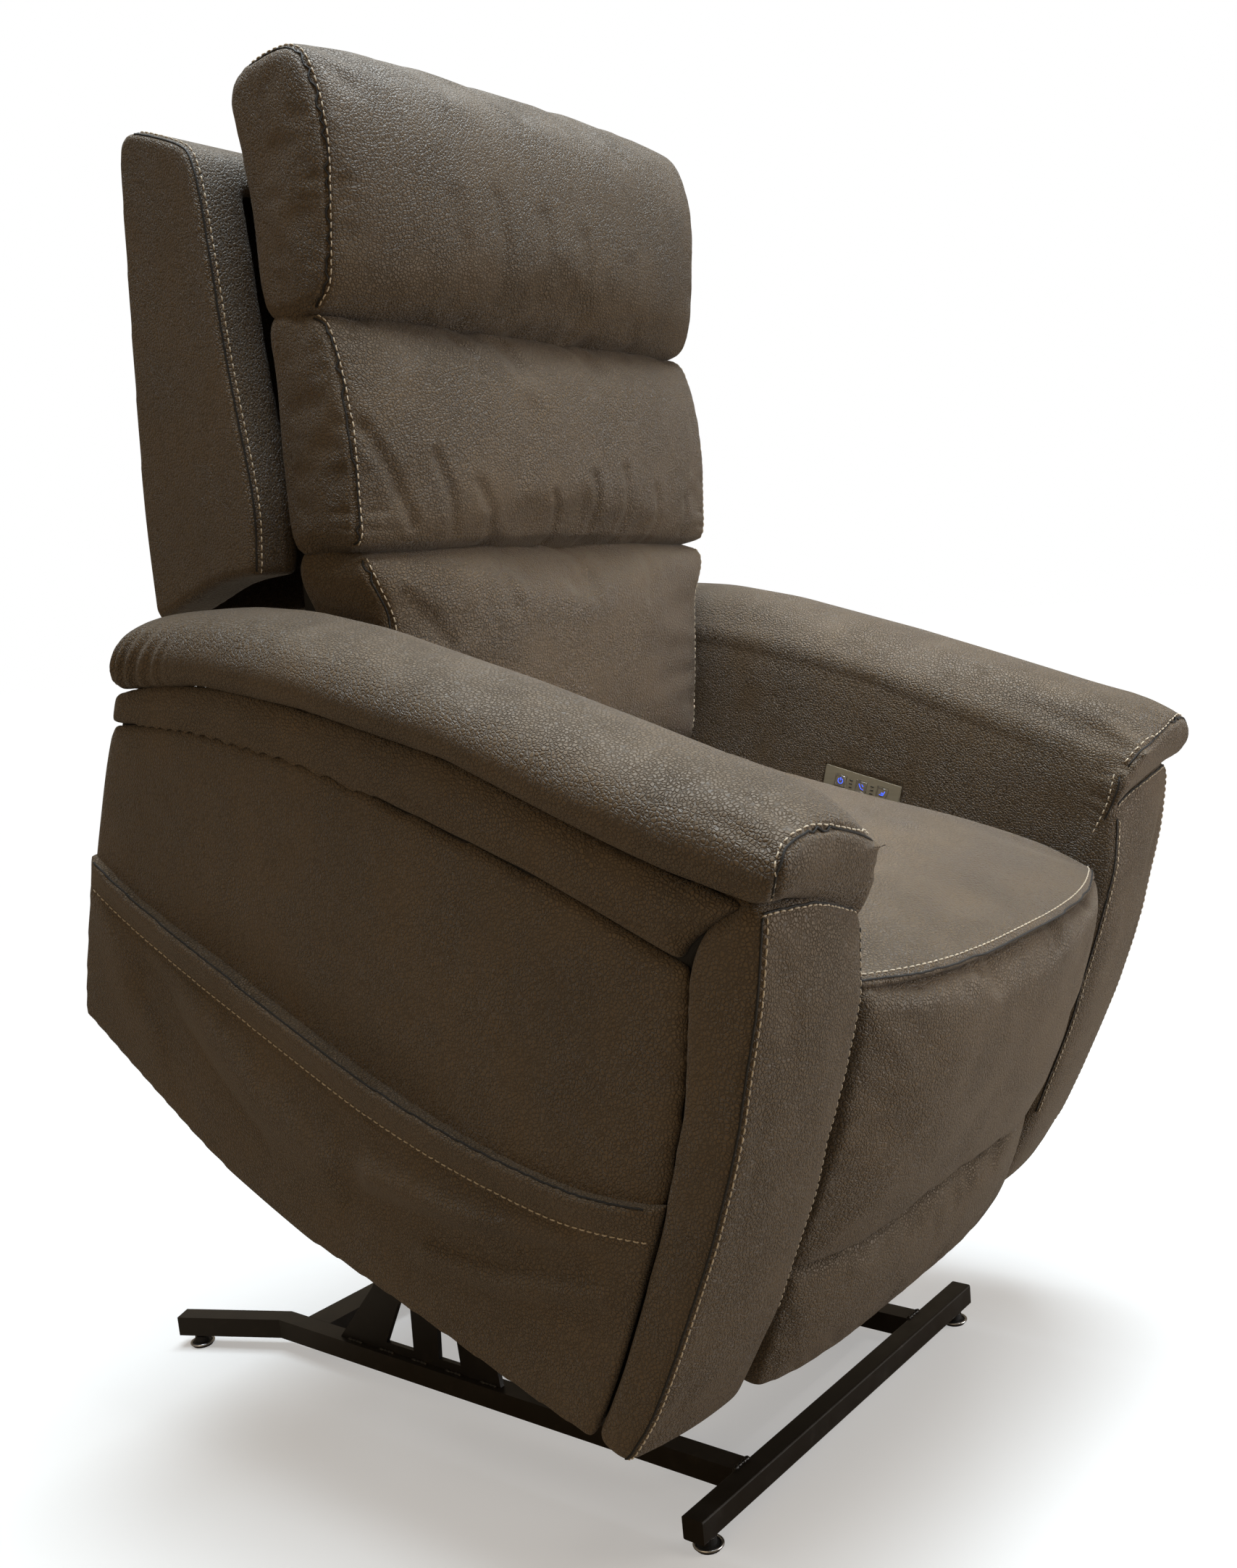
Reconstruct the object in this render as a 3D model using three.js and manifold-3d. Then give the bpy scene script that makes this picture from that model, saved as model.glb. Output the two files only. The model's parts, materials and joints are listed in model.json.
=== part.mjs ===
// Lift recliner chair: an upholstered power recliner on a lifting floor base.
//
// Millimetres, +Z up. The floor is z = 0, x = 0 is the middle of the chair, and the sitter faces -Y.
// The model stands with its lift raised: the chair is tipped forward over its front floor bar.
//
// The floor base is drawn in floor coordinates (x, y, z). Everything the lift carries is drawn in chair
// coordinates (x, v, w), level when the chair is down: v runs rearward and w runs up. The back is drawn
// in back coordinates (x, d, h): d runs rearward and h runs up along the leaning back.

import * as THREE from 'three';
import { mergeVertices } from 'three/addons/utils/BufferGeometryUtils.js';
import Module from 'manifold-3d';

const manifold = await Module();
manifold.setup();

// ---------------------------------------------------------------- driving dimensions

const tube = 25.7;                 // square steel tube of the floor base
const glideHeight = 18;            // floor to the underside of the base tubes
const barHalf = 293;               // half the length of the front floor bar
const barFrontY = -300;            // front face of the front floor bar
const railX = 188.2;               // centre line of the straight part of a side rail
const railBendY = 462;             // where the side rails splay outwards
const railEnd = [251, 601];        // centre of a rail's rear end, (x, y)

const tilt = 24.48 * Math.PI / 180;      // forward tip of the raised chair
const raised = [-316.9, 101.8];          // chair origin (y, z) with the lift up
const lowered = [-320, -30];             // chair origin (y, z) with the lift down

const lowerPivot = [150, 235];     // lower lift arm on the upright, (y, z)
const upperPivot = [120, 300];     // upper lift arm on the upright, (y, z)
const lowerReach = 490;            // tip centre of the lift to the lower arm's chair pivot
const upperReach = 600;            // tip centre of the lift to the upper arm's chair pivot
const liftMotorPivot = [375, 60];  // lift motor on the rear cross member, (y, z)
const liftEyePivot = [215, 160];   // lift rod on the carriage, (v, w)

const reclinePivot = [585, 345];        // back hinge, (v, w)
const backLean = 22 * Math.PI / 180;    // lean of the back behind vertical, chair down
const headPivot = [84, 588];            // headrest hinge, (d, h)
const reclineMotorPivot = [255, 200];   // foot of the recline motor, (v, w)
const reclineMotorX = 110;
const footMotorPivot = [598, 284];      // foot of the footrest motor, (v, w)
const crankX = -110;                    // plane of the footrest motor
const footPivot = [188, 329];           // footrest rear link on the carriage, (v, w)
const footKnee = [142, 104];            // rear link to front link, footrest shut, (v, w)
const footBoardPivot = [120, 323];      // front link to board bracket, footrest shut, (v, w)

const steel = 6;                   // plate thickness of arms, links and brackets
const uprightX = 193;              // inner face of each steel layer, outwards from the middle
const lowerArmX = 203;
const upperArmX = 211;
const carriageX = 219;
const rearLinkX = 227;
const frontLinkX = 234.5;
const boardBracketX = 241;
const linkSteel = 5;               // plate thickness of the footrest links
const fit = 0.3;                   // gap that keeps neighbouring solids apart
const pinRadius = 8;
const boreRadius = pinRadius + fit;
const linkPinRadius = 6;           // stub pins of the footrest links and eyes of the small motor rods
const linkBore = linkPinRadius + fit;
const headPinRadius = 4;           // pins of the headrest hinge

const seatHalf = 269;              // half width of the seat cushion and the footrest pads
const armInnerX = 279;             // inner face of an arm
const armOuterX = 438;             // outer face of a side panel
const padHalfInner = 270;          // inner and outer edge of an arm pad
const padHalfOuter = 452;
const backHalf = 335;              // half width of the outer back
const bolsterHalf = 300;           // half width of the back bolsters above the arms
const lowerBolsterHalf = 268;      // half width of the lowest bolster, which sits between the arms

// ---------------------------------------------------------------- materials

const leather = () => new THREE.MeshStandardMaterial({ color: 0x4a3f35, roughness: 0.62, metalness: 0 });
const blackPaint = () => new THREE.MeshStandardMaterial({ color: 0x17161a, roughness: 0.38, metalness: 0.5 });
const zincSteel = () => new THREE.MeshStandardMaterial({ color: 0x9a9c9e, roughness: 0.35, metalness: 0.9 });
const wood = () => new THREE.MeshStandardMaterial({ color: 0xb48a5a, roughness: 0.7, metalness: 0 });
const plastic = () => new THREE.MeshStandardMaterial({ color: 0x1d1d1f, roughness: 0.55, metalness: 0 });
const webbing = () => new THREE.MeshStandardMaterial({ color: 0x2b2926, roughness: 0.9, metalness: 0 });
const champagne = () => new THREE.MeshStandardMaterial({ color: 0x9c9078, roughness: 0.35, metalness: 0.9 });
const buttonFace = () => new THREE.MeshStandardMaterial({ color: 0x6d6757, roughness: 0.4, metalness: 0.7 });

// ---------------------------------------------------------------- shape helpers

const { cos, sin, sqrt, PI } = Math;

function part(name, geometry, material) {
  const mesh = new THREE.Mesh(geometry, material);
  mesh.name = name;
  return mesh;
}

// A smooth run of points through the given ones.
function smooth(points, steps = 10) {
  const curve = new THREE.SplineCurve(points.map(([a, b]) => new THREE.Vector2(a, b)));
  return curve.getPoints(steps).map((p) => [p.x, p.y]);
}

// A closed outline through points, with round holes given as [a, b, radius].
function outline(points, holes = []) {
  const shape = new THREE.Shape(points.map(([a, b]) => new THREE.Vector2(a, b)));
  for (const [a, b, radius] of holes) {
    shape.holes.push(new THREE.Path().absarc(a, b, radius, 0, 2 * PI, true));
  }
  return shape;
}

// Points of an arc about (a, b), from one angle to another in degrees.
function arc([a, b], radius, from, to, steps = 8) {
  const points = [];
  for (let i = 0; i <= steps; i += 1) {
    const angle = (from + (to - from) * i / steps) * PI / 180;
    points.push([a + radius * cos(angle), b + radius * sin(angle)]);
  }
  return points;
}

// The outline of a flat bar with round ends, between two pivots.
function barOutline(start, end, radius, holes) {
  const along = Math.atan2(end[1] - start[1], end[0] - start[0]) * 180 / PI;
  return outline([
    ...arc(start, radius, along + 90, along + 270),
    ...arc(end, radius, along - 90, along + 90),
  ], holes);
}

function extrude(shape, depth, bevel) {
  return new THREE.ExtrudeGeometry(shape, {
    depth: depth - 2 * bevel,
    bevelEnabled: bevel > 0,
    bevelThickness: bevel,
    bevelSize: bevel,
    bevelOffset: -bevel,
    bevelSegments: 3,
    curveSegments: 8,
  }).translate(0, 0, bevel);
}

// A side outline (rearward, up) run across the chair from x0 to x1.
const acrossChair = new THREE.Matrix4().set(
  0, 0, 1, 0,
  1, 0, 0, 0,
  0, 1, 0, 0,
  0, 0, 0, 1,
);

function prism(shape, x0, x1, bevel = 0) {
  return extrude(shape, x1 - x0, bevel).applyMatrix4(acrossChair).translate(x0, 0, 0);
}

// The same prism on the sitter's left (side = 1) or right (side = -1), between two distances from the middle.
function sidePrism(shape, side, near, far, bevel = 0) {
  return side > 0 ? prism(shape, near, far, bevel) : prism(shape, -far, -near, bevel);
}

// A round disc as a sixteen-sided outline.
function disc(centre, radius) {
  return outline(arc(centre, radius, 0, 337.5, 15));
}

function rod(centre, radius, x0, x1) {
  return prism(disc(centre, radius), x0, x1);
}

// Two cheeks of one shape about the plane x, with the eye of a motor rod between them.
function cheeks(shape, x) {
  const [near, far] = [9, 13];
  return [prism(shape, x - far, x - near), prism(shape, x + near, x + far)];
}

function box(x0, x1, a0, a1, b0, b1) {
  return prism(outline([[a0, b0], [a1, b0], [a1, b1], [a0, b1]]), x0, x1);
}

function toSolid(geometry) {
  const bare = geometry.clone();
  bare.deleteAttribute('normal');
  bare.deleteAttribute('uv');
  const merged = mergeVertices(bare, 1e-3);
  return new manifold.Manifold(new manifold.Mesh({
    numProp: 3,
    vertProperties: new Float32Array(merged.attributes.position.array),
    triVerts: new Uint32Array(merged.index.array),
  }));
}

function toGeometry(solid) {
  const mesh = solid.getMesh();
  const geometry = new THREE.BufferGeometry();
  geometry.setAttribute('position', new THREE.BufferAttribute(mesh.vertProperties, 3));
  geometry.setIndex(new THREE.BufferAttribute(mesh.triVerts, 1));
  return geometry;
}

function join(...geometries) {
  return toGeometry(geometries.map(toSolid).reduce((whole, next) => whole.add(next)));
}

function cut(geometry, ...cutters) {
  return toGeometry(cutters.map(toSolid).reduce((whole, next) => whole.subtract(next), toSolid(geometry)));
}

const sides = [['right', -1], ['left', 1]];

// ---------------------------------------------------------------- lift geometry

// The lift turns the chair by `tilt` and moves its origin from `lowered` to `raised`. One floor point,
// the tip centre, is the same before and after. A pivot on the chair that keeps its distance from a
// fixed pivot lies half a tilt below the line from the tip centre through that fixed pivot.
function tipCentre() {
  const dy = raised[0] - (lowered[0] * cos(tilt) - lowered[1] * sin(tilt));
  const dz = raised[1] - (lowered[0] * sin(tilt) + lowered[1] * cos(tilt));
  const a = 1 - cos(tilt);
  const b = sin(tilt);
  const scale = 1 / (a * a + b * b);
  return [scale * (a * dy - b * dz), scale * (b * dy + a * dz)];
}

function chairPivot(fixedPivot, reach) {
  const centre = tipCentre();
  const angle = Math.atan2(fixedPivot[1] - centre[1], fixedPivot[0] - centre[0]) - tilt / 2;
  return [centre[0] + reach * cos(angle) - lowered[0], centre[1] + reach * sin(angle) - lowered[1]];
}

function chairToFloor([v, w]) {
  return [
    raised[0] + v * cos(tilt) - w * sin(tilt),
    raised[1] + v * sin(tilt) + w * cos(tilt),
  ];
}

const lowerChairPivot = chairPivot(lowerPivot, lowerReach);
const upperChairPivot = chairPivot(upperPivot, upperReach);

// ---------------------------------------------------------------- floor base

const barTop = glideHeight + tube;

function frontFloorBar() {
  const half = tube / 2;
  const edge = 2;
  const section = outline([
    ...arc([half - edge, half - edge], edge, 0, 90, 3),
    ...arc([edge - half, half - edge], edge, 90, 180, 3),
    ...arc([edge - half, edge - half], edge, 180, 270, 3),
    ...arc([half - edge, edge - half], edge, 270, 360, 3),
  ]);
  const bar = prism(section, -barHalf, barHalf);
  return bar.translate(0, barFrontY + half, glideHeight + half);
}

// Plan outline of a side rail: straight from the front bar, then splayed outwards with a mitred bend.
function sideRail(side) {
  const half = tube / 2;
  const splay = Math.atan2(railEnd[0] - railX, railEnd[1] - railBendY);
  const shift = half * Math.tan(splay / 2);
  const frontY = barFrontY + tube + fit;
  const across = [half * cos(splay), -half * sin(splay)];
  const points = [
    [railX - half, frontY],
    [railX + half, frontY],
    [railX + half, railBendY - shift],
    [railEnd[0] + across[0], railEnd[1] + across[1]],
    [railEnd[0] - across[0], railEnd[1] - across[1]],
    [railX - half, railBendY + shift],
  ].map(([x, y]) => [side * x, y]);
  return extrude(outline(side > 0 ? points : points.reverse()), tube, 0).translate(0, 0, glideHeight);
}

// A pressed channel between the rails, with its open side down.
function rearCrossMember() {
  const [y0, y1, wall] = [388, 430, 3];
  const z0 = barTop - 22;
  const half = railX - tube / 2 - fit;
  return prism(outline([
    [y0, z0], [y0 + wall, z0], [y0 + wall, barTop - wall], [y1 - wall, barTop - wall],
    [y1 - wall, z0], [y1, z0], [y1, barTop], [y0, barTop],
  ]), -half, half);
}

// The upright is a plate welded on the rail, with two windows that leave three legs.
function uprightPlate(side) {
  const foot = barTop + fit;
  const plate = outline([
    [64, foot], [345, foot], [273, 125], [222, 200],
    ...arc(upperPivot, 26, 25, 180, 6),
    [84, 180],
  ], [[...lowerPivot, boreRadius], [...upperPivot, boreRadius]]);
  const windows = [
    [[128, 56], [165, 56], [158, 140], [134, 140]],
    [[209, 56], [258, 56], [228, 112], [205, 138]],
  ];
  for (const corners of windows) {
    plate.holes.push(new THREE.Path(corners.reverse().map(([y, z]) => new THREE.Vector2(y, z))));
  }
  return sidePrism(plate, side, uprightX - steel, uprightX);
}

// A levelling glide: a threaded stem, a hex of black plastic and a steel disc, as one turned piece.
function glide(x, y) {
  const discRadius = 14;
  const profile = [
    [0, 0], [discRadius - 1, 0], [discRadius, 1.5], [discRadius, 4], [9, 6], [9, 13], [5, 14],
    [5, glideHeight - fit], [0, glideHeight - fit],
  ];
  const turned = new THREE.LatheGeometry(profile.map(([r, z]) => new THREE.Vector2(r, z)), 20);
  return turned.rotateX(PI / 2).translate(x, y, 0);
}

function liftMotorBracket() {
  const [y, z] = liftMotorPivot;
  const lug = (x0, x1) => prism(outline([
    [398, barTop + fit], [398, 72], ...arc([y, z], 13, 60, 250, 8), [388, barTop + fit],
  ], [[y, z, boreRadius]]), x0, x1);
  const foot = box(-36, 36, 390, 402, barTop + fit, barTop + 7);
  return join(lug(-36, -31), lug(31, 36), foot);
}

function powerSupply() {
  return extrude(outline([[46, 390], [146, 390], [146, 428], [46, 428]]), 40, 4)
    .translate(0, 0, barTop + fit);
}

// ---------------------------------------------------------------- lift

const armRadius = 17;              // half the width of a lift arm, and the radius of its round ends

// A stub pin that carries an arm on its upright.
function uprightPin(pivot, side, farX) {
  return sidePrism(disc(pivot, pinRadius), side, uprightX - steel - 2, farX);
}

// The lower arms are welded to one torque tube, which turns in the carriage plates.
function lowerLiftFrame() {
  const chairEnd = chairToFloor(lowerChairPivot);
  const end = carriageX + steel + 3;
  const arms = sides.flatMap(([, side]) => [
    sidePrism(barOutline(lowerPivot, chairEnd, armRadius), side, lowerArmX, lowerArmX + steel),
    uprightPin(lowerPivot, side, lowerArmX + 1),
  ]);
  return join(rod(chairEnd, pinRadius, -end, end), ...arms);
}

// An upper arm hangs on its own pin and ends beside the carriage plate.
function upperLiftArm(side) {
  const arm = barOutline(upperPivot, chairToFloor(upperChairPivot), armRadius);
  return join(
    sidePrism(arm, side, upperArmX, upperArmX + steel),
    uprightPin(upperPivot, side, upperArmX + 1),
  );
}

// A linear actuator seen from the side, drawn along +Z from its motor pivot: a gearbox with a motor can
// beside it, then the outer tube.
function actuatorHousing(length, tubeRadius, canX, canSide) {
  const outerTube = new THREE.CylinderGeometry(tubeRadius, tubeRadius, length - 60, 24)
    .rotateX(PI / 2).translate(0, 0, 60 + (length - 60) / 2);
  const bore = new THREE.CylinderGeometry(tubeRadius - 4, tubeRadius - 4, length, 24)
    .rotateX(PI / 2).translate(0, 0, 70 + length / 2);
  const gearbox = extrude(outline([
    ...arc([0, 0], tubeRadius + 6, 90, 270, 8), [canX, -tubeRadius - 6], [canX, tubeRadius + 6],
  ]), 46, 4).translate(0, 0, 16);
  const can = new THREE.CylinderGeometry(18, 18, 120, 20)
    .rotateX(PI / 2).translate(canX - 4, 0, 16 + 23 + 60);
  const eye = rod([0, 0], 11, -10, 10);
  const eyeNeck = box(-10, 10, -9, 9, 0, 20);
  const housing = cut(join(outerTube, gearbox, can, eye, eyeNeck), bore, rod([0, 0], pinRadius, -20, 20));
  return canSide > 0 ? housing : housing.rotateZ(PI);
}

// The sliding rod, drawn along -Z from the eye at its driven end.
function actuatorRod(length, radius) {
  const shaft = new THREE.CylinderGeometry(radius, radius, length, 16)
    .rotateX(PI / 2).translate(0, 0, -length / 2 - 8);
  const eye = rod([0, 0], radius + 3, -7, 7);
  return cut(join(shaft, eye), rod([0, 0], radius - 4, -20, 20));
}

// Lay a piece drawn along +Z at one pivot so that +Z points at the other pivot.
function aim(mesh, x, [a0, b0], [a1, b1]) {
  mesh.position.set(x, a0, b0);
  mesh.rotation.x = -Math.atan2(a1 - a0, b1 - b0);
  return mesh;
}

function actuator(name, x, base, eye, { housing, rodLength, tubeRadius, canX, canSide = 1 }) {
  const motor = part(`${name}_motor`, actuatorHousing(housing, tubeRadius, canX, canSide), plastic());
  const slide = part(`${name}_rod`, actuatorRod(rodLength, tubeRadius - 9), zincSteel());
  const group = new THREE.Group();
  group.add(aim(motor, x, base, eye));
  const length = sqrt((eye[0] - base[0]) ** 2 + (eye[1] - base[1]) ** 2);
  const eyeSeat = new THREE.Group();
  eyeSeat.add(slide);
  slide.position.z = length;
  group.add(aim(eyeSeat, x, base, eye));
  return group;
}

// ---------------------------------------------------------------- carriage and seat

const deckFront = [112, 392];      // underside of the seat frame, (v, w)
const deckRear = [555, 339];
const deckSlope = (deckRear[1] - deckFront[1]) / (deckRear[0] - deckFront[0]);
const deckAt = (v) => deckFront[1] + deckSlope * (v - deckFront[0]);

// A slab that follows the slope of the seat, its underside `above` the deck line.
function deckSlab(v0, v1, x0, x1, above, thickness) {
  const low0 = deckAt(v0) + above;
  const low1 = deckAt(v1) + above;
  return prism(outline([[v0, low0], [v1, low1], [v1, low1 + thickness], [v0, low0 + thickness]]), x0, x1);
}

const rearTube = [640, 300];       // centre of the rear cross tube, (v, w)
const motorEarHalf = 16;           // half width over the two ears that hold a motor or rod eye

function carriagePlate(side) {
  const [lowV, lowW] = lowerChairPivot;
  const [upV, upW] = upperChairPivot;
  const plate = outline([
    ...arc([lowV, lowW], 20, 180, 300, 6),
    [upV + 20, upW - 24], ...arc(rearTube, 20, 280, 400, 5),
    ...arc(reclinePivot, 17, 30, 120, 5), [560, deckAt(560) - 1],
    [122, deckAt(122) - 1], [122, 300],
  ], [
    [lowV, lowW, boreRadius],
    [...footPivot, boreRadius],
    [...reclinePivot, boreRadius],
  ]);
  return sidePrism(plate, side, carriageX, carriageX + steel);
}

function crossTube(centre) {
  const half = carriageX - fit;
  return cut(rod(centre, 12, -half, half), rod(centre, 10, -half - 1, half + 1));
}

// A pair of ears welded to a cross tube, with a bore for the eye of a motor or rod.
function ears(centre, eye, x) {
  const bar = barOutline(centre, eye, 12, [[...eye, boreRadius]]);
  return [
    prism(bar, x - motorEarHalf, x - motorEarHalf + 5),
    prism(bar, x + motorEarHalf - 5, x + motorEarHalf),
  ];
}

// The middle tube holds the eye of the lift rod and the foot of the recline motor.
function motorTube() {
  const centre = [liftEyePivot[0], liftEyePivot[1] + 36];
  const half = carriageX - fit;
  return join(
    rod(centre, 12, -half, half),
    ...ears(centre, liftEyePivot, 0),
    ...ears(centre, reclineMotorPivot, reclineMotorX),
  );
}

// The rear tube holds the foot of the footrest motor.
function rearCrossTube() {
  const half = carriageX - fit;
  return join(rod(rearTube, 12, -half, half), ...ears(rearTube, footMotorPivot, crankX));
}

function seatFrame() {
  const [v0, v1] = [deckFront[0], deckRear[0]];
  const rail = (x0, x1) => deckSlab(v0, v1, x0, x1, 0, 22);
  return join(
    rail(-262, -241), rail(241, 262),
    deckSlab(v0, v0 + 22, -245, 245, 0, 22),
    deckSlab(v1 - 22, v1, -245, 245, 0, 22),
  );
}

// Sinuous springs: zigzag wires hooked over the front and rear rails, tied by two cross wires.
function seatSprings() {
  const wire = 4;
  const above = 22 + fit;
  const [pitch, waves, amplitude] = [36, 12, 22];
  const pieces = [];
  for (const x of [-165, -55, 55, 165]) {
    for (let i = 0; i < waves; i += 1) {
      const v = deckFront[0] + i * pitch;
      const swing = i % 2 === 0 ? -amplitude : amplitude;
      pieces.push(deckSlab(v, v + pitch + wire, x + swing - wire / 2, x + swing + wire / 2, above, wire));
      pieces.push(deckSlab(v + pitch, v + pitch + wire, x - amplitude, x + amplitude, above, wire));
    }
  }
  for (const wave of [3, 8]) {
    const v = deckFront[0] + wave * pitch;
    pieces.push(deckSlab(v, v + wire, -190, 190, above, wire));
  }
  return join(...pieces);
}

function seatCushion() {
  const bottom = 30;
  const nose = smooth([[36, 520], [16, 521], [8, 526], [14, 532], [42, 535]], 8);
  const top = smooth([[42, 535], [100, 535], [200, 522], [300, 498], [450, 468], [560, 448]], 16);
  return prism(outline([
    [556, deckAt(556) + bottom], [570, 430], ...top.reverse(), ...nose.slice(0, -1).reverse(),
    [106, 462], [112, deckAt(112) + bottom],
  ]), -seatHalf, seatHalf);
}

// ---------------------------------------------------------------- arms

// The line where the arm pad meets the side of the arm, rear to front.
const padLine = smooth([
  [848, 478], [725, 533], [580, 569], [395, 600], [228, 607], [150, 613], [112, 619],
], 16);
const shiftUp = (points, by) => points.map(([v, w]) => [v, w + by]);

// The line where the side of the arm meets the front pad, bottom to top.
const frontLine = smooth([[57, 96], [53, 174], [57, 313], [73, 440], [104, 545], [108, 618]], 12);
const shiftRear = (points, by) => points.map(([v, w]) => [v + by, w]);

const bottomLine = smooth([[57, 94], [258, 69], [457, 48], [600, 54], [708, 72], [831, 95]], 12);

function armFrame(side) {
  const frame = outline([
    [114, 102], [825, 112], [838, 440], ...shiftUp(padLine.slice(1, -1), -8), [114, 600],
  ]);
  const opening = [[180, 160], [770, 170], [775, 380], [400, 470], [180, 490]];
  frame.holes.push(new THREE.Path(opening.reverse().map(([v, w]) => new THREE.Vector2(v, w))));
  return sidePrism(frame, side, armInnerX, armOuterX - 14);
}

function sidePanel(side) {
  const panel = outline([
    ...shiftRear(frontLine, 2).reverse().slice(1), ...bottomLine.slice(1), [843, 156], [855, 268], [856, 400],
    ...shiftUp(padLine, -1),
  ]);
  return sidePrism(panel, side, armOuterX - 13, armOuterX);
}

// The pocket hangs from a hem that curves down across the side panel.
function sidePocket(side) {
  const hem = smooth([[852, 288], [747, 278], [509, 271], [306, 279], [138, 314], [64, 346]], 12);
  const pocket = outline([...shiftUp(shiftRear(bottomLine, 3), 2), [845, 200], ...hem]);
  return sidePrism(pocket, side, armOuterX + fit, armOuterX + 12);
}

function armPad(side) {
  const rearEnd = [[846, 478], [864, 486], [872, 507], [862, 535]];
  const crest = smooth([
    [862, 535], [836, 564], [759, 598], [584, 643], [400, 667], [164, 689], [95, 697], [70, 695],
  ], 20);
  const frontEnd = [[52, 685], [45, 668], [45, 650], [52, 635], [64, 626]];
  return sidePrism(outline([
    ...shiftUp(padLine, 1).reverse(), ...rearEnd, ...crest.slice(1), ...frontEnd,
  ]), side, padHalfInner, padHalfOuter);
}

function frontPad(side) {
  const face = smooth([
    [58, 622], [44, 586], [30, 540], [15, 448], [6, 347], [5, 217], [9, 140], [20, 88],
  ], 16);
  return sidePrism(outline([...face, ...frontLine]), side, armInnerX - 2, armOuterX + 3);
}

function rearFlap() {
  return box(-262, 262, 834, 842, 100, 330);
}

// ---------------------------------------------------------------- control plate

const plateCentre = [351, 483];    // control plate on the inner face of the left arm, (v, w)
const plateSize = [107, 30];
const plateSlope = 8.6 * PI / 180; // the plate falls rearwards by this angle, like the seat beside it
const plateThickness = 3;
const buttonSize = 15;
const buttonPitch = 30;
const buttonPocket = 2;            // depth of the well a button stands in

// A rectangle on the plate, with its middle this far rearwards along the plate.
function onPlate(offset, length, height) {
  const turn = (a, b) => [
    plateCentre[0] + a * cos(plateSlope) + b * sin(plateSlope),
    plateCentre[1] - a * sin(plateSlope) + b * cos(plateSlope),
  ];
  const [near, far, half] = [offset - length / 2, offset + length / 2, height / 2];
  return outline([turn(near, -half), turn(far, -half), turn(far, half), turn(near, half)]);
}

const buttonAt = (index, size) => onPlate((index - 1) * buttonPitch, size, size);

function controlPlate() {
  const face = armInnerX - fit;
  const plate = prism(onPlate(0, ...plateSize), face - plateThickness, face);
  const wells = [0, 1, 2].map((index) => prism(
    buttonAt(index, buttonSize + 1), face - plateThickness - 1, face - plateThickness + buttonPocket,
  ));
  return cut(plate, ...wells);
}

function controlButton(index) {
  const bed = armInnerX - fit - plateThickness + buttonPocket;
  return prism(buttonAt(index, buttonSize), bed - buttonPocket - 0.6, bed - 1);
}

// ---------------------------------------------------------------- footrest

// Both rear links are welded to a torque tube with a crank for the footrest motor.
const crankPin = [36, -50];        // crank eye from the torque tube, footrest shut, (v, w)

function rearLinkFrame() {
  const radius = 11;
  const links = sides.map(([, side]) => sidePrism(
    barOutline(footPivot, footKnee, radius, [[...footKnee, linkBore]]),
    side, rearLinkX, rearLinkX + linkSteel,
  ));
  const crankEye = [footPivot[0] + crankPin[0], footPivot[1] + crankPin[1]];
  const crank = barOutline(footPivot, crankEye, 12, [[...crankEye, linkBore]]);
  const end = rearLinkX + linkSteel;
  return join(rod(footPivot, pinRadius, -end, end), ...cheeks(crank, crankX), ...links);
}

// A front link carries the stub pins of both its ends.
function frontLink(side) {
  const link = sidePrism(barOutline(footKnee, footBoardPivot, 11), side, frontLinkX, frontLinkX + linkSteel);
  const stub = (pivot, near, far) => sidePrism(disc(pivot, linkPinRadius), side, near, far);
  return join(
    link,
    stub(footKnee, rearLinkX, frontLinkX + 1),
    stub(footBoardPivot, frontLinkX + linkSteel - 1, boardBracketX + linkSteel),
  );
}

// The board behind the footrest pads, with a bracket for each front link.
function footrestBoard() {
  const [v0, v1] = [96, 108];
  const bracket = (side) => sidePrism(outline([
    [v0 + 4, 275], [v1 + 2, 275], [footBoardPivot[0] + 9, 302],
    ...arc(footBoardPivot, 12, -40, 90, 6), [v1, 350], [v0 + 4, 360],
  ], [[...footBoardPivot, linkBore]]), side, boardBracketX, boardBracketX + linkSteel);
  return join(box(-250, 250, v0, v1, 100, 440), bracket(1), bracket(-1));
}

function footrestMainPad() {
  const face = smooth([[28, 514], [4, 485], [-14, 429], [-21, 345], [-20, 274], [-8, 236]], 14);
  return prism(outline([...face, [4, 229], [94, 229], [94, 458]]), -seatHalf, seatHalf);
}

function footrestLowerPad() {
  const face = smooth([[0, 224], [-12, 214], [-17, 160], [-12, 100], [4, 86]], 10);
  return prism(outline([...face, [94, 86], [94, 224]]), -seatHalf, seatHalf);
}

// ---------------------------------------------------------------- back, in back coordinates (d, h)

// A plate frame behind the bolsters, carried by a bracket at each side from the recline hinge.
function backFrame() {
  const [d0, d1] = [74, 96];
  const [h0, h1] = [110, 572];
  const post = (x0, x1) => box(x0, x1, d0, d1, h0, h1);
  const rail = (low) => box(-250, 250, d0, d1, low, low + 50);
  const bracket = (side) => sidePrism(outline([
    ...arc([0, 0], 18, 200, 320, 6), [d1, 60], [d1, 200], [d0 + 4, 200], [d0 + 4, 100],
  ], [[0, 0, boreRadius]]), side, rearLinkX, rearLinkX + steel);
  return join(post(-262, -222), post(222, 262), rail(h0), rail(300), rail(h1 - 50), bracket(1), bracket(-1));
}

// The lower end of the back carries a crank for the recline motor, under the hinge.
const reclineCrank = [33, -78];

function reclineShaft() {
  const half = rearLinkX + steel + 6;
  const crank = barOutline([0, 0], reclineCrank, 13, [[...reclineCrank, linkBore]]);
  return join(rod([0, 0], pinRadius, -half, half), ...cheeks(crank, reclineMotorX));
}

const wingWidth = 60;

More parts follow.
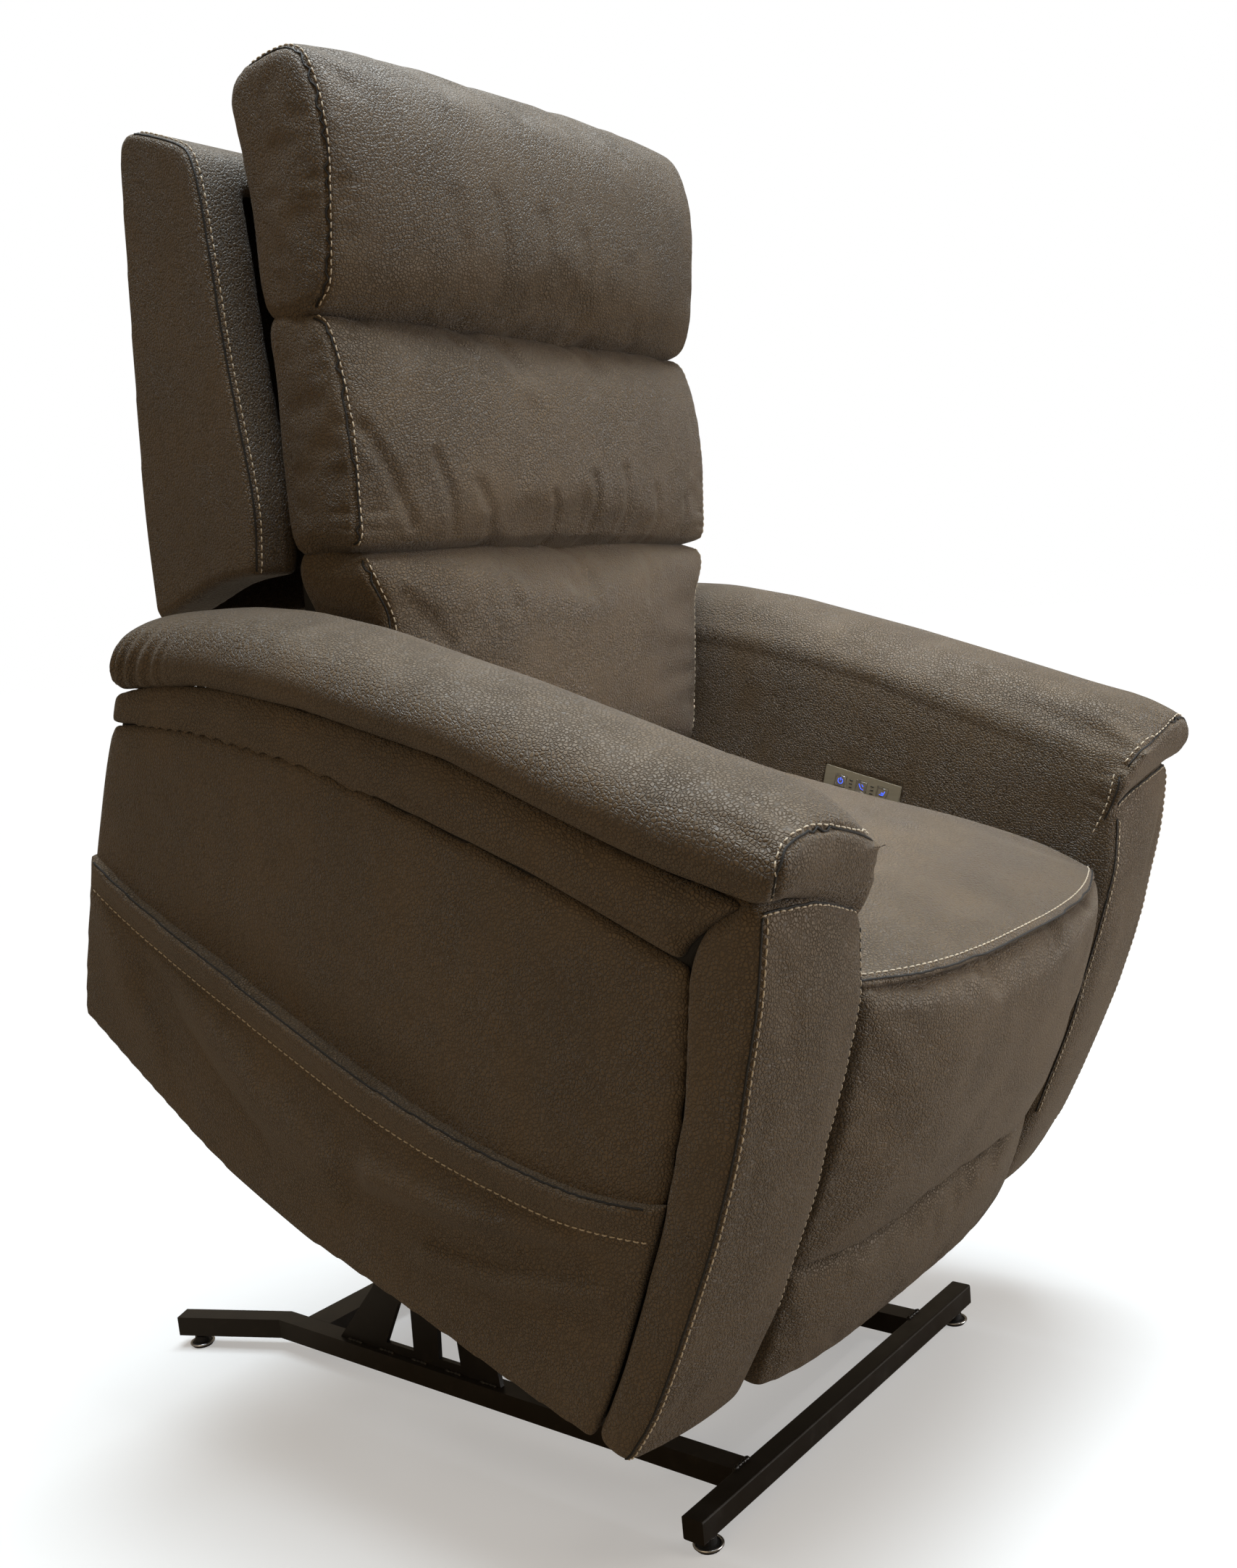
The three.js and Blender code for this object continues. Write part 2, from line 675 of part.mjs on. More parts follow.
// A deep cover behind the frame: two wide wings, a rear wall and a top, open behind the bolsters.
function outerBack() {
  const section = outline([
    [81, 330], [74, 400], [88, 500], [96, 560], [104, 650], [111, 712],
    ...arc([128, 734], 16, 170, 100, 3), [205, 778],
    ...arc([217, 764], 18, 90, 10, 4), [252, 560], [263, 400], [261, 298], [210, 310], [148, 326],
  ].reverse());
  const hollow = outline([
    [0, 250], [243, 250], [246, 400], [236, 560], [219, 755], [128, 728], [96, 700], [0, 700],
  ]);
  return cut(prism(section, -backHalf, backHalf), prism(hollow, -backHalf + wingWidth, backHalf - wingWidth));
}

// The side outlines of the three bolsters. Each bulges forwards between its seams.
function lowerBolster() {
  const face = smooth([[-52, 104], [-62, 130], [-60, 200], [-52, 262], [-34, 318], [-22, 336]], 12);
  return prism(outline([
    [66, 345], [70, 200], [66, 122], [-20, 98], ...face, [0, 347],
  ].reverse()), -lowerBolsterHalf, lowerBolsterHalf);
}

function middleBolster() {
  const face = smooth([[-34, 356], [-50, 372], [-57, 420], [-54, 480], [-40, 540], [-18, 574]], 12);
  return prism(outline([
    [68, 583], [66, 460], [64, 353], ...face, [0, 583],
  ].reverse()), -bolsterHalf, bolsterHalf);
}

function headBolster() {
  const face = smooth([[-42, 634], [-57, 654], [-62, 690], [-55, 740], [-34, 788], [2, 818]], 12);
  const crown = smooth([[2, 818], [36, 826], [72, 818], [98, 784]], 6);
  return prism(outline([
    [88, 720], [72, 660], [72, 592], ...face, ...crown.slice(1),
  ].reverse()), -bolsterHalf, bolsterHalf);
}

// The headrest board, its two hinge ears below and the eye of the headrest motor behind.
const headMotorX = 0;
const headEarX = 200;              // hinge ears of the headrest, from the middle
const headMotorBase = [146, 330];
const headEye = [138, 608];

function headrestBoard() {
  const board = box(-240, 240, 73, 83, 600, 658);
  const ear = (x) => prism(outline([
    ...arc(headPivot, 9, 180, 360, 8), [89, 612], [73, 612],
  ], [[...headPivot, headPinRadius + fit]]), x - 4, x + 4);
  const lug = outline([
    [80, 602], [132, 596], ...arc(headEye, 12, -60, 90, 6), [80, 640],
  ], [[...headEye, linkBore]]);
  return join(board, ear(-headEarX), ear(headEarX), ...cheeks(lug, headMotorX));
}

// Hinge brackets and a cross rail on the back frame that hold the headrest and its motor.
function headrestCarrier() {
  const [d, h] = headPivot;
  const cheek = (x) => prism(outline([
    [97, 540], [112, 540], [112, 575], ...arc([d, h], 9, 20, 160, 6), [d - 9, h - 9], [97, h - 9],
  ]), x + 5, x + 9);
  const pin = (x) => rod([d, h], headPinRadius, x - 5, x + 7);
  const bar = box(-216, 216, 97, 112, 538, 552);
  const strut = box(-20, 20, 97, 104, 318, 542);
  const lug = (x0, x1) => prism(outline([
    [100, 318], ...arc(headMotorBase, 11, -90, 90, 8), [100, 345],
  ], [[...headMotorBase, boreRadius]]), x0, x1);
  const hinges = [cheek(-headEarX), cheek(headEarX), pin(-headEarX), pin(headEarX)];
  return join(...hinges, bar, strut, lug(-16, -11), lug(11, 16));
}

// ---------------------------------------------------------------- assembly

const floorBase = new THREE.Group();
floorBase.add(part('front_floor_bar', frontFloorBar(), blackPaint()));
floorBase.add(part('rear_cross_member', rearCrossMember(), blackPaint()));
floorBase.add(part('lift_motor_bracket', liftMotorBracket(), blackPaint()));
floorBase.add(part('power_supply', powerSupply(), plastic()));
for (const [name, side] of sides) {
  floorBase.add(part(`base_rail_${name}`, sideRail(side), blackPaint()));
  floorBase.add(part(`upright_plate_${name}`, uprightPlate(side), blackPaint()));
  floorBase.add(part(`front_glide_${name}`, glide(side * 270, barFrontY + tube / 2), plastic()));
  floorBase.add(part(`rear_glide_${name}`, glide(side * 241, 578), plastic()));
}

const liftLinks = new THREE.Group();
liftLinks.add(part('lower_lift_frame', lowerLiftFrame(), blackPaint()));
for (const [name, side] of sides) {
  liftLinks.add(part(`upper_lift_arm_${name}`, upperLiftArm(side), blackPaint()));
}
liftLinks.add(actuator('lift', 0, liftMotorPivot, chairToFloor(liftEyePivot), {
  housing: 400, rodLength: 330, tubeRadius: 20, canX: 42,
}));

const chair = new THREE.Group();
chair.position.set(0, raised[0], raised[1]);
chair.rotation.x = tilt;
chair.add(part('front_cross_tube', crossTube([150, 232]), blackPaint()));
chair.add(part('motor_cross_tube', motorTube(), blackPaint()));
chair.add(part('rear_cross_tube', rearCrossTube(), blackPaint()));
chair.add(part('seat_frame', seatFrame(), wood()));
chair.add(part('seat_springs', seatSprings(), zincSteel()));
chair.add(part('seat_cushion', seatCushion(), leather()));
chair.add(part('rear_flap', rearFlap(), webbing()));
for (const [name, side] of sides) {
  chair.add(part(`carriage_plate_${name}`, carriagePlate(side), blackPaint()));
  chair.add(part(`arm_frame_${name}`, armFrame(side), wood()));
  chair.add(part(`side_panel_${name}`, sidePanel(side), leather()));
  chair.add(part(`side_pocket_${name}`, sidePocket(side), leather()));
  chair.add(part(`arm_pad_${name}`, armPad(side), leather()));
  chair.add(part(`front_pad_${name}`, frontPad(side), leather()));
}
chair.add(part('control_plate', controlPlate(), champagne()));
for (const index of [0, 1, 2]) {
  chair.add(part(`control_button_${index + 1}`, controlButton(index), buttonFace()));
}

const footrest = new THREE.Group();
footrest.add(part('footrest_rear_links', rearLinkFrame(), blackPaint()));
for (const [name, side] of sides) {
  footrest.add(part(`footrest_front_link_${name}`, frontLink(side), blackPaint()));
}
footrest.add(part('footrest_board', footrestBoard(), wood()));
footrest.add(part('footrest_main_pad', footrestMainPad(), leather()));
footrest.add(part('footrest_lower_pad', footrestLowerPad(), leather()));
footrest.add(actuator(
  'footrest', crankX, footMotorPivot, [footPivot[0] + crankPin[0], footPivot[1] + crankPin[1]],
  { housing: 270, rodLength: 285, tubeRadius: 17, canX: 38, canSide: -1 },
));
chair.add(footrest);

const back = new THREE.Group();
back.position.set(0, reclinePivot[0], reclinePivot[1]);
back.rotation.x = -backLean;
back.add(part('back_frame', backFrame(), wood()));
back.add(part('recline_shaft', reclineShaft(), zincSteel()));
back.add(part('outer_back', outerBack(), leather()));
back.add(part('lower_bolster', lowerBolster(), leather()));
back.add(part('middle_bolster', middleBolster(), leather()));
back.add(part('headrest_carrier', headrestCarrier(), blackPaint()));
back.add(part('headrest_board', headrestBoard(), wood()));
back.add(part('head_bolster', headBolster(), leather()));
back.add(actuator('headrest', headMotorX, headMotorBase, headEye, {
  housing: 210, rodLength: 170, tubeRadius: 15, canX: 32,
}));
chair.add(back);

const crankFloor = [
  reclinePivot[0] + reclineCrank[0] * cos(backLean) + reclineCrank[1] * sin(backLean),
  reclinePivot[1] - reclineCrank[0] * sin(backLean) + reclineCrank[1] * cos(backLean),
];
chair.add(actuator('recline', reclineMotorX, reclineMotorPivot, crankFloor, {
  housing: 240, rodLength: 180, tubeRadius: 17, canX: 38,
}));

// The origin is on the floor at the middle of the raised chair's footprint.
const footprintMiddleY = 18;
const standing = new THREE.Group();
standing.position.y = -footprintMiddleY;
standing.add(floorBase, liftLinks, chair);

const liftRecliner = new THREE.Group();
liftRecliner.add(standing);

export default liftRecliner;
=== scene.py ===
import json
import math

import bmesh
import bpy
import numpy as np
from mathutils import Matrix, Vector
from mathutils.bvhtree import BVHTree
from mathutils.kdtree import KDTree


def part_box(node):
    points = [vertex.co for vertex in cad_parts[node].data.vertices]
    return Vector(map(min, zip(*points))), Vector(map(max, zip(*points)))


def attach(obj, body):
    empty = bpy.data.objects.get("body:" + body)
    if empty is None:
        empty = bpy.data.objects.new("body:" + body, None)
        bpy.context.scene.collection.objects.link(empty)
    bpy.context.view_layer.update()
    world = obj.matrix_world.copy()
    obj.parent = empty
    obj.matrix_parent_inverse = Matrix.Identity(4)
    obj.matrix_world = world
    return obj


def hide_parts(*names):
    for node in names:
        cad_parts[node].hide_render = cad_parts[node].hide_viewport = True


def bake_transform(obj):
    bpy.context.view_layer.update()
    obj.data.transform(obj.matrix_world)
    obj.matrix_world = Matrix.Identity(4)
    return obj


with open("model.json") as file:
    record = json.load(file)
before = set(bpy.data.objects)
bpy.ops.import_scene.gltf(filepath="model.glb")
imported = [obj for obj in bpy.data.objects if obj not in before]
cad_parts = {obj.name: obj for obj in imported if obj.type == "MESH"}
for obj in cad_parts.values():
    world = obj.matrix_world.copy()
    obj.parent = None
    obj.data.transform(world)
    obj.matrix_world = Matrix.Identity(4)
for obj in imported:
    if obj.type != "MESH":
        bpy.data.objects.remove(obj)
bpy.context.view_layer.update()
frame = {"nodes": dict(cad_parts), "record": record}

# The chair's own frames. Lengths in outlines are millimetres: across the chair is x, v runs from
# the front to the rear and w upwards along the tilted seat frame. The backrest leans from it at
# the hinge, with d through its thickness and h along its height.
MM = 0.001
TILT = math.radians(24.48)
RAISED = Vector((0, -0.3349, 0.1018))
HINGE = Vector((0, 0.585, 0.345))
LEAN = math.radians(22)


def turned(angle, origin):
    """The frame turned about x by this angle, with this origin."""
    return Matrix.Translation(origin) @ Matrix.Rotation(angle, 4, "X")


CHAIR = turned(TILT, RAISED)
BACK = CHAIR @ turned(-LEAN, HINGE)


# ---------------------------------------------------------------- lines

def curve(points, count, closed=False):
    """Evenly spaced points on the smooth line through these points."""
    p = np.array(points, float)
    n = len(p)

    def at(k):
        return p[k % n] if closed else p[min(max(k, 0), n - 1)]

    t = np.linspace(0, 1, 12, endpoint=False)[:, None]
    fine = []
    for k in range(n if closed else n - 1):
        a, b, c, d = at(k - 1), at(k), at(k + 1), at(k + 2)
        fine.append(0.5 * (2 * b + (c - a) * t + (2 * a - 5 * b + 4 * c - d) * t ** 2
                           + (3 * b - a - 3 * c + d) * t ** 3))
    fine = np.vstack(fine + [p[:1] if closed else p[-1:]])
    return spaced(fine, count, closed)


def spaced(line, count, closed=False):
    """Evenly spaced points on this polyline, whose last point repeats the first if closed."""
    run = np.r_[0, np.cumsum(np.linalg.norm(np.diff(line, axis=0), axis=1))]
    at = np.linspace(0, run[-1], count, endpoint=not closed)
    return np.stack([np.interp(at, run, line[:, k]) for k in range(line.shape[1])], 1)


def rounded(corners, radii, count):
    """A closed outline through these corners, each rounded by its radius."""
    p = np.array(corners, float)
    line = []
    for k in range(len(p)):
        before = p[k - 1] - p[k]
        after = p[(k + 1) % len(p)] - p[k]
        a = p[k] + before / np.linalg.norm(before) * radii[k]
        b = p[k] + after / np.linalg.norm(after) * radii[k]
        for t in np.linspace(0, 1, 7):
            line.append(a * (1 - t) ** 2 + 2 * p[k] * t * (1 - t) + b * t ** 2)
    return spaced(np.array(line + line[:1]), count, closed=True)


def inset(ring, distance):
    """A closed outline moved inwards by this distance."""
    ahead = np.roll(ring, -1, axis=0) - np.roll(ring, 1, axis=0)
    ahead /= np.linalg.norm(ahead, axis=1)[:, None] + 1e-9
    left = np.stack([-ahead[:, 1], ahead[:, 0]], 1)
    x, y = ring[:, 0], ring[:, 1]
    turn = np.sign(np.sum(x * np.roll(y, -1) - np.roll(x, -1) * y))
    return ring + left * turn * distance


def smoothstep(a, b, value):
    """0 up to a, 1 from b, and smooth between."""
    t = np.clip((value - a) / (b - a), 0, 1)
    return t * t * (3 - 2 * t)


def distance_to(points, line):
    """How far each point is from a polyline, in as many dimensions as they have."""
    best = np.full(len(points), np.inf)
    for a, b in zip(line[:-1], line[1:]):
        d = b - a
        t = np.clip((points - a) @ d / (d @ d + 1e-12), 0, 1)
        best = np.minimum(best, np.linalg.norm(points - a - t[:, None] * d, axis=1))
    return best


def at_x(x, flat):
    """The points of a flat outline, standing at this x."""
    return np.column_stack([np.full(len(flat), float(x)), flat])


def seam_line(points, count, shift=(0, 0, 0)):
    """A smooth line in metres through (x, v, w) millimetre points, moved by a shift."""
    return curve(np.array(points, float) + shift, count) * MM


def read_off(points, known, column=0):
    """The other coordinate of a flat line where one of its columns has this value."""
    p = np.array(points, float)
    if p[0, column] > p[-1, column]:
        p = p[::-1]
    return np.interp(known, p[:, column], p[:, 1 - column])


# ---------------------------------------------------------------- meshes

def scene_object(name, data):
    """A new object in the scene, holding this data."""
    obj = bpy.data.objects.new(name, data)
    bpy.context.scene.collection.objects.link(obj)
    return obj


def mesh_object(name, vertices, faces):
    """A new mesh object from plain vertices and faces."""
    mesh = bpy.data.meshes.new(name)
    mesh.from_pydata([tuple(v) for v in vertices], [], faces)
    mesh.update()
    return scene_object(name, mesh)


def loft(name, rings):
    """A closed solid through rings of (x, p, q) in millimetres, capped at both ends."""
    n = len(rings[0])
    faces = []
    for r in range(len(rings) - 1):
        for k in range(n):
            m = (k + 1) % n
            faces.append((r * n + k, r * n + m, (r + 1) * n + m, (r + 1) * n + k))
    faces.append(tuple(reversed(range(n))))
    faces.append(tuple(range((len(rings) - 1) * n, len(rings) * n)))
    obj = mesh_object(name, np.vstack(rings) * MM, faces)
    bm = bmesh.new()
    bm.from_mesh(obj.data)
    bmesh.ops.recalc_face_normals(bm, faces=bm.faces)
    bm.to_mesh(obj.data)
    bm.free()
    return obj


def apply_modifiers(obj):
    """Puts the evaluated mesh in place of the modifiers."""
    bpy.context.view_layer.update()
    evaluated = obj.evaluated_get(bpy.context.evaluated_depsgraph_get())
    mesh = bpy.data.meshes.new_from_object(evaluated)
    obj.modifiers.clear()
    old = obj.data
    obj.data = mesh
    bpy.data.meshes.remove(old)


def modifier(obj, kind, **settings):
    """Adds a modifier with these settings."""
    made = obj.modifiers.new(kind, kind)
    for key, value in settings.items():
        setattr(made, key, value)


def remesh(obj, size):
    """An even mesh of this edge length, in metres, with its steps smoothed."""
    modifier(obj, "REMESH", mode="VOXEL", voxel_size=size)
    modifier(obj, "SMOOTH", factor=0.5, iterations=4)
    apply_modifiers(obj)


def subdivide(obj):
    """One step of smooth subdivision."""
    modifier(obj, "SUBSURF", levels=1, render_levels=1)
    apply_modifiers(obj)


def vertex_values(obj, name):
    """One three-number value of every vertex, as an array."""
    values = np.zeros(len(obj.data.vertices) * 3)
    obj.data.vertices.foreach_get(name, values)
    return values.reshape(-1, 3)


def points_of(obj):
    """The vertices as an array."""
    return vertex_values(obj, "co")


def normals_of(obj):
    """The vertex normals as an array."""
    normals = np.zeros(len(obj.data.vertices) * 3)
    obj.data.vertices.foreach_get("normal", normals)
    return normals.reshape(-1, 3)


def move_to(obj, co):
    """Puts the vertices at these points."""
    obj.data.vertices.foreach_set("co", co.ravel())
    obj.data.update()


def puff(obj, pinned, pressure=4.0, spread=0.03, cap=0.022, frames=20, bending=1.0):
    """Blows the piece up as cloth held at its pinned points, then caps how far a point moves."""
    scene = bpy.context.scene
    rest = points_of(obj)
    group = obj.vertex_groups.new(name="pinned")
    group.add([int(k) for k in np.nonzero(pinned)[0]], 1.0, "REPLACE")
    cloth = obj.modifiers.new("Cloth", "CLOTH")
    settings = cloth.settings
    settings.quality = 5
    settings.mass = 0.3
    settings.use_pressure = True
    settings.uniform_pressure_force = pressure
    settings.shrink_min = -spread
    settings.bending_stiffness = bending
    settings.effector_weights.gravity = 0
    settings.vertex_group_mass = "pinned"
    cloth.point_cache.frame_start = 1
    cloth.point_cache.frame_end = frames
    for number in range(1, frames + 1):
        scene.frame_set(number)
    evaluated = obj.evaluated_get(bpy.context.evaluated_depsgraph_get())
    blown = points_of(evaluated)
    obj.modifiers.clear()
    obj.vertex_groups.clear()
    scene.frame_set(1)
    moved = blown - rest
    length = np.linalg.norm(moved, axis=1)[:, None] + 1e-12
    move_to(obj, rest + moved / length * cap * np.tanh(length / cap))


def puckers(obj, line, height, reach, pitch):
    """Irregular little folds drawn together by a seam, fading away on both sides of it."""
    steps = spaced(line, 300)
    tree = KDTree(len(steps))
    for k, point in enumerate(steps):
        tree.insert(Vector(point), k)
    tree.balance()
    co = points_of(obj)
    found = [tree.find(Vector(p)) for p in co]
    near = np.array([f[2] for f in found])
    step = np.linalg.norm(np.diff(steps, axis=0), axis=1).mean()
    along = np.array([f[1] for f in found]) * step
    turn = 2 * math.pi * along / pitch + 1.7 * np.sin(along / pitch * 2.3 + 0.8)
    strength = 0.55 + 0.45 * np.sin(along / pitch * 0.71 + 2.0)
    away = near / reach
    fade = smoothstep(0.12, 0.5, away) * np.exp(-away ** 2)
    co -= normals_of(obj) * (height * strength * fade * np.exp(2 * np.sin(turn) - 2))[:, None]
    move_to(obj, co)


def folds(obj, strokes):
    """Lays creases down a pillow's face, along strokes (x, h, x, h, width, depth) in mm."""
    bow, groove, shoulder = 4, 1.6, 0.6
    co = points_of(obj)
    normals = normals_of(obj)
    drop = np.zeros(len(co))
    for x0, h0, x1, h1, width, depth in strokes:
        line = np.array([(x0, h0), ((x0 + x1) / 2 + bow, (h0 + h1) / 2), (x1, h1)]) * MM
        near = distance_to(co[:, [0, 2]], line) / (width * MM)
        drop += depth * MM * (groove * np.exp(-near ** 2) - shoulder * np.exp(-(near / 2) ** 2))
    co -= normals * (drop * np.clip(-normals[:, 1], 0, 1))[:, None]
    move_to(obj, co)


def press(obj, line, width, depth):
    """Presses a soft groove along a line in metres, or raises a ridge where depth is negative."""
    co = points_of(obj)
    near = distance_to(co, line)
    co -= normals_of(obj) * (depth * np.exp(-(near / width) ** 2))[:, None]
    move_to(obj, co)


def on_surface(obj, line):
    """The nearest points of the piece's surface to a line, with the normals there."""
    tree = BVHTree.FromObject(obj, bpy.context.evaluated_depsgraph_get())
    places = []
    for point in line:
        location, normal, _, _ = tree.find_nearest(Vector(point))
        places.append((location, normal))
    return places


SEAM_RADIUS = 0.0011
STITCH_PITCH = 0.0082
STITCH_LENGTH = 0.0056
STITCH_RADIUS = 0.00075


def tube(path, radii, sides=6):
    """Vertices and faces of a round tube along a path."""
    vertices, faces = [], []
    count = len(path)
    for k, point in enumerate(path):
        ahead = (path[min(k + 1, count - 1)] - path[max(k - 1, 0)]).normalized()
        across = ahead.orthogonal().normalized() if k == 0 else across - ahead * across.dot(ahead)
        across.normalize()
        other = ahead.cross(across)
        for s in range(sides):
            angle = 2 * math.pi * s / sides
            vertices.append(point + (across * math.cos(angle) + other * math.sin(angle)) * radii[k])
    for k in range(count - 1):
        for s in range(sides):
            t = (s + 1) % sides
            faces.append((k * sides + s, k * sides + t, (k + 1) * sides + t, (k + 1) * sides + s))
    faces.append(tuple(reversed(range(sides))))
    faces.append(tuple(range((count - 1) * sides, count * sides)))
    return vertices, faces


def join_shapes(name, shapes):
    """One mesh object from several lots of vertices and faces."""
    vertices, faces = [], []
    for some_vertices, some_faces in shapes:
        base = len(vertices)
        vertices += some_vertices
        faces += [tuple(base + k for k in face) for face in some_faces]
    obj = mesh_object(name, vertices, faces)
    obj.data.shade_smooth()
    return obj


def seam_cords(name, obj, lines):
    """The dark lines of the seams, laid into the surface of the piece."""
    shapes = []
    for line in lines:
        count = max(4, int(np.linalg.norm(np.diff(line, axis=0), axis=1).sum() / 0.006))
        places = on_surface(obj, spaced(line, count))
        path = [location + normal * SEAM_RADIUS * 0.2 for location, normal in places]
        shapes.append(tube(path, [SEAM_RADIUS] * count, 5))
    return join_shapes(name, shapes)


def stitching(name, obj, lines):
    """Rows of pale dashed topstitching on the surface of the piece."""
    shapes = []
    for line in lines:
        length = np.linalg.norm(np.diff(line, axis=0), axis=1).sum()
        count = max(2, int(length / STITCH_PITCH))
        fine = on_surface(obj, spaced(line, count * 6 + 1))
        share = STITCH_LENGTH / STITCH_PITCH
        places = np.array([[*location, *normal] for location, normal in fine])
        steps = np.arange(len(fine))
        for k in range(count):
            at = (k + np.array([0.0, 0.12, 0.5, 0.88, 1.0]) * share) * 6
            path = []
            for a, lift in zip(at, [-0.6, 0.5, 0.9, 0.5, -0.6]):
                place = np.array([np.interp(a, steps, column) for column in places.T])
                path.append(Vector(place[:3] + place[3:] * lift * STITCH_RADIUS))
            shapes.append(tube(path, [STITCH_RADIUS * r for r in (0.5, 1, 1, 1, 0.5)], 5))
    return join_shapes(name, shapes)


def line_at(x, points, count=60):
    """A smooth line of (p, q) millimetre points at one x, in metres."""
    return at_x(x, curve(points, count)) * MM


def mirrored_lines(lines):
    """The same lines on the other side of the chair."""
    return [line * np.array([-1, 1, 1]) for line in lines]


def mirrored(obj, name):
    """A copy of a piece for the other side of the chair."""
    copy = scene_object(name, obj.data.copy())
    copy.data.transform(Matrix.Scale(-1, 4, Vector((1, 0, 0))))
    copy.data.flip_normals()
    return copy


# ---------------------------------------------------------------- materials

def material(name):
    """An empty node material and its tree."""
    made = bpy.data.materials.new(name)
    made.use_nodes = True
    made.node_tree.nodes.clear()
    return made, made.node_tree


def node(tree, kind, inputs=(), **settings):
    """A node with its settings, and its inputs set to values or linked to sockets."""
    made = tree.nodes.new(kind)
    for key, value in settings.items():
        setattr(made, key, value)
    for key, value in dict(inputs).items():
        if isinstance(value, bpy.types.NodeSocket):
            tree.links.new(value, made.inputs[key])
        else:
            made.inputs[key].default_value = value
    return made


def mixed(tree, factor, a, b, mode="MIX"):
    """The socket of two colours mixed."""
    made = node(tree, "ShaderNodeMix", {0: factor, 6: a, 7: b}, data_type="RGBA", blend_type=mode)
    return made.outputs[2]


def mathed(tree, operation, a, b=0.0):
    """The socket of a sum of two values."""
    return node(tree, "ShaderNodeMath", {0: a, 1: b}, operation=operation).outputs[0]


def ranged(tree, value, low, high, to_low=0.0, to_high=1.0):
    """The socket of a value mapped from one range to another."""
    made = node(tree, "ShaderNodeMapRange",
                {"Value": value, "From Min": low, "From Max": high,
                 "To Min": to_low, "To Max": to_high})
    return made.outputs["Result"]


def noise(tree, scale, detail=3.0, roughness=0.5, vector=None):
    """The socket of a noise in object space."""
    made = node(tree, "ShaderNodeTexNoise",
                {"Vector": vector or object_space(tree), "Scale": scale, "Detail": detail,
                 "Roughness": roughness})
    return made.outputs["Fac"]


def object_space(tree):
    """The socket of the coordinates in object space."""
    return node(tree, "ShaderNodeTexCoord").outputs["Object"]


def vector_math(tree, operation, a, b):
    """The socket of a sum of two vectors."""
    return node(tree, "ShaderNodeVectorMath", {0: a, 1: b}, operation=operation).outputs[0]


def rubbed(tree, low, high, share):
    """The socket of how much an edge is rubbed, up to a share."""
    pointed = node(tree, "ShaderNodeNewGeometry").outputs["Pointiness"]
    return ranged(tree, pointed, low, high, 0.0, share)


def bumped(tree, height, strength, depth):
    """The socket of a normal bumped by a height, whose full range is this deep in metres."""
    inputs = {"Height": height, "Strength": strength, "Distance": depth}
    return node(tree, "ShaderNodeBump", inputs).outputs[0]


def finish_shader(made, tree, shader):
    """Ends the tree in its output."""
    node(tree, "ShaderNodeOutputMaterial", {"Surface": shader.outputs[0]})
    return made


def surfaced(made, tree, base, rough, normal, more=()):
    """Ends the tree in a principled shader."""
    inputs = {"Base Color": base, "Roughness": rough, "Normal": normal, **dict(more)}
    return finish_shader(made, tree, node(tree, "ShaderNodeBsdfPrincipled", inputs))


def shade(value, factor):
    """A colour made lighter or darker."""
    return tuple(c * factor for c in value[:3]) + (1.0,)


LEATHER = (0.081, 0.052, 0.024, 1.0)
LEATHER_GREY = (0.102, 0.077, 0.052, 1.0)


def leather_material(name):
    """Waxed nubuck-like leather: pebble grain, cloudy colour, paler rubbed edges."""
    made, tree = material(name)
    warp = node(tree, "ShaderNodeTexNoise",
                {"Vector": object_space(tree), "Scale": 120.0, "Detail": 2.0}).outputs["Color"]
    offset = vector_math(tree, "SUBTRACT", warp, (0.5, 0.5, 0.5))
    small = vector_math(tree, "MULTIPLY", offset, (0.003, 0.003, 0.003))
    bent = vector_math(tree, "ADD", object_space(tree), small)
    pebble = node(tree, "ShaderNodeTexVoronoi",
                  {"Vector": bent, "Scale": 290.0, "Randomness": 1.0},
                  feature="DISTANCE_TO_EDGE").outputs["Distance"]
    cell = ranged(tree, pebble, 0.0, 0.22)
    patches = ranged(tree, noise(tree, 16.0, 2.0), 0.35, 0.65, 0.45, 1.0)
    fine = mathed(tree, "MULTIPLY", noise(tree, 1500.0, 2.0), 0.12)
    height = mathed(tree, "ADD", mathed(tree, "MULTIPLY", cell, patches), fine)
    clouds = ranged(tree, noise(tree, 7.0, 5.0, 0.6), 0.3, 0.7)
    blotches = ranged(tree, noise(tree, 38.0, 4.0, 0.65), 0.3, 0.75, 0.0, 0.35)
    base = mixed(tree, clouds, shade(LEATHER, 0.82), shade(LEATHER, 1.12))
    base = mixed(tree, blotches, base, LEATHER_GREY)
    # Painted shade: the colour is darkened in the creases between the pebbles and lightened a
    # little on their crowns.
    creases = ranged(tree, cell, 0.0, 1.0, 0.58, 1.08)
    creases = node(tree, "ShaderNodeCombineColor", {0: creases, 1: creases, 2: creases})
    base = mixed(tree, 1.0, base, creases.outputs[0], "MULTIPLY")
    base = mixed(tree, rubbed(tree, 0.52, 0.60, 0.35), base, shade(LEATHER_GREY, 1.25))
    rough = ranged(tree, clouds, 0.0, 1.0, 0.50, 0.62)
    sheen = {"Specular IOR Level": 0.40, "Sheen Weight": 0.16, "Sheen Roughness": 0.45,
             "Sheen Tint": (0.76, 0.74, 0.74, 1.0)}
    return surfaced(made, tree, base, rough, bumped(tree, height, 1.0, 0.0012), sheen)


def thread_material(name, colour, sheen):
    """Twisted sewing thread."""
    made, tree = material(name)
    tone = ranged(tree, noise(tree, 300.0), 0.3, 0.7)
    base = mixed(tree, tone, shade(colour, 0.75), shade(colour, 1.1))
    twist = node(tree, "ShaderNodeTexWave", {"Scale": 900.0, "Distortion": 1.0}).outputs["Fac"]
    return surfaced(made, tree, base, 0.7, bumped(tree, twist, 0.4, 0.0002),
                    {"Sheen Weight": sheen})


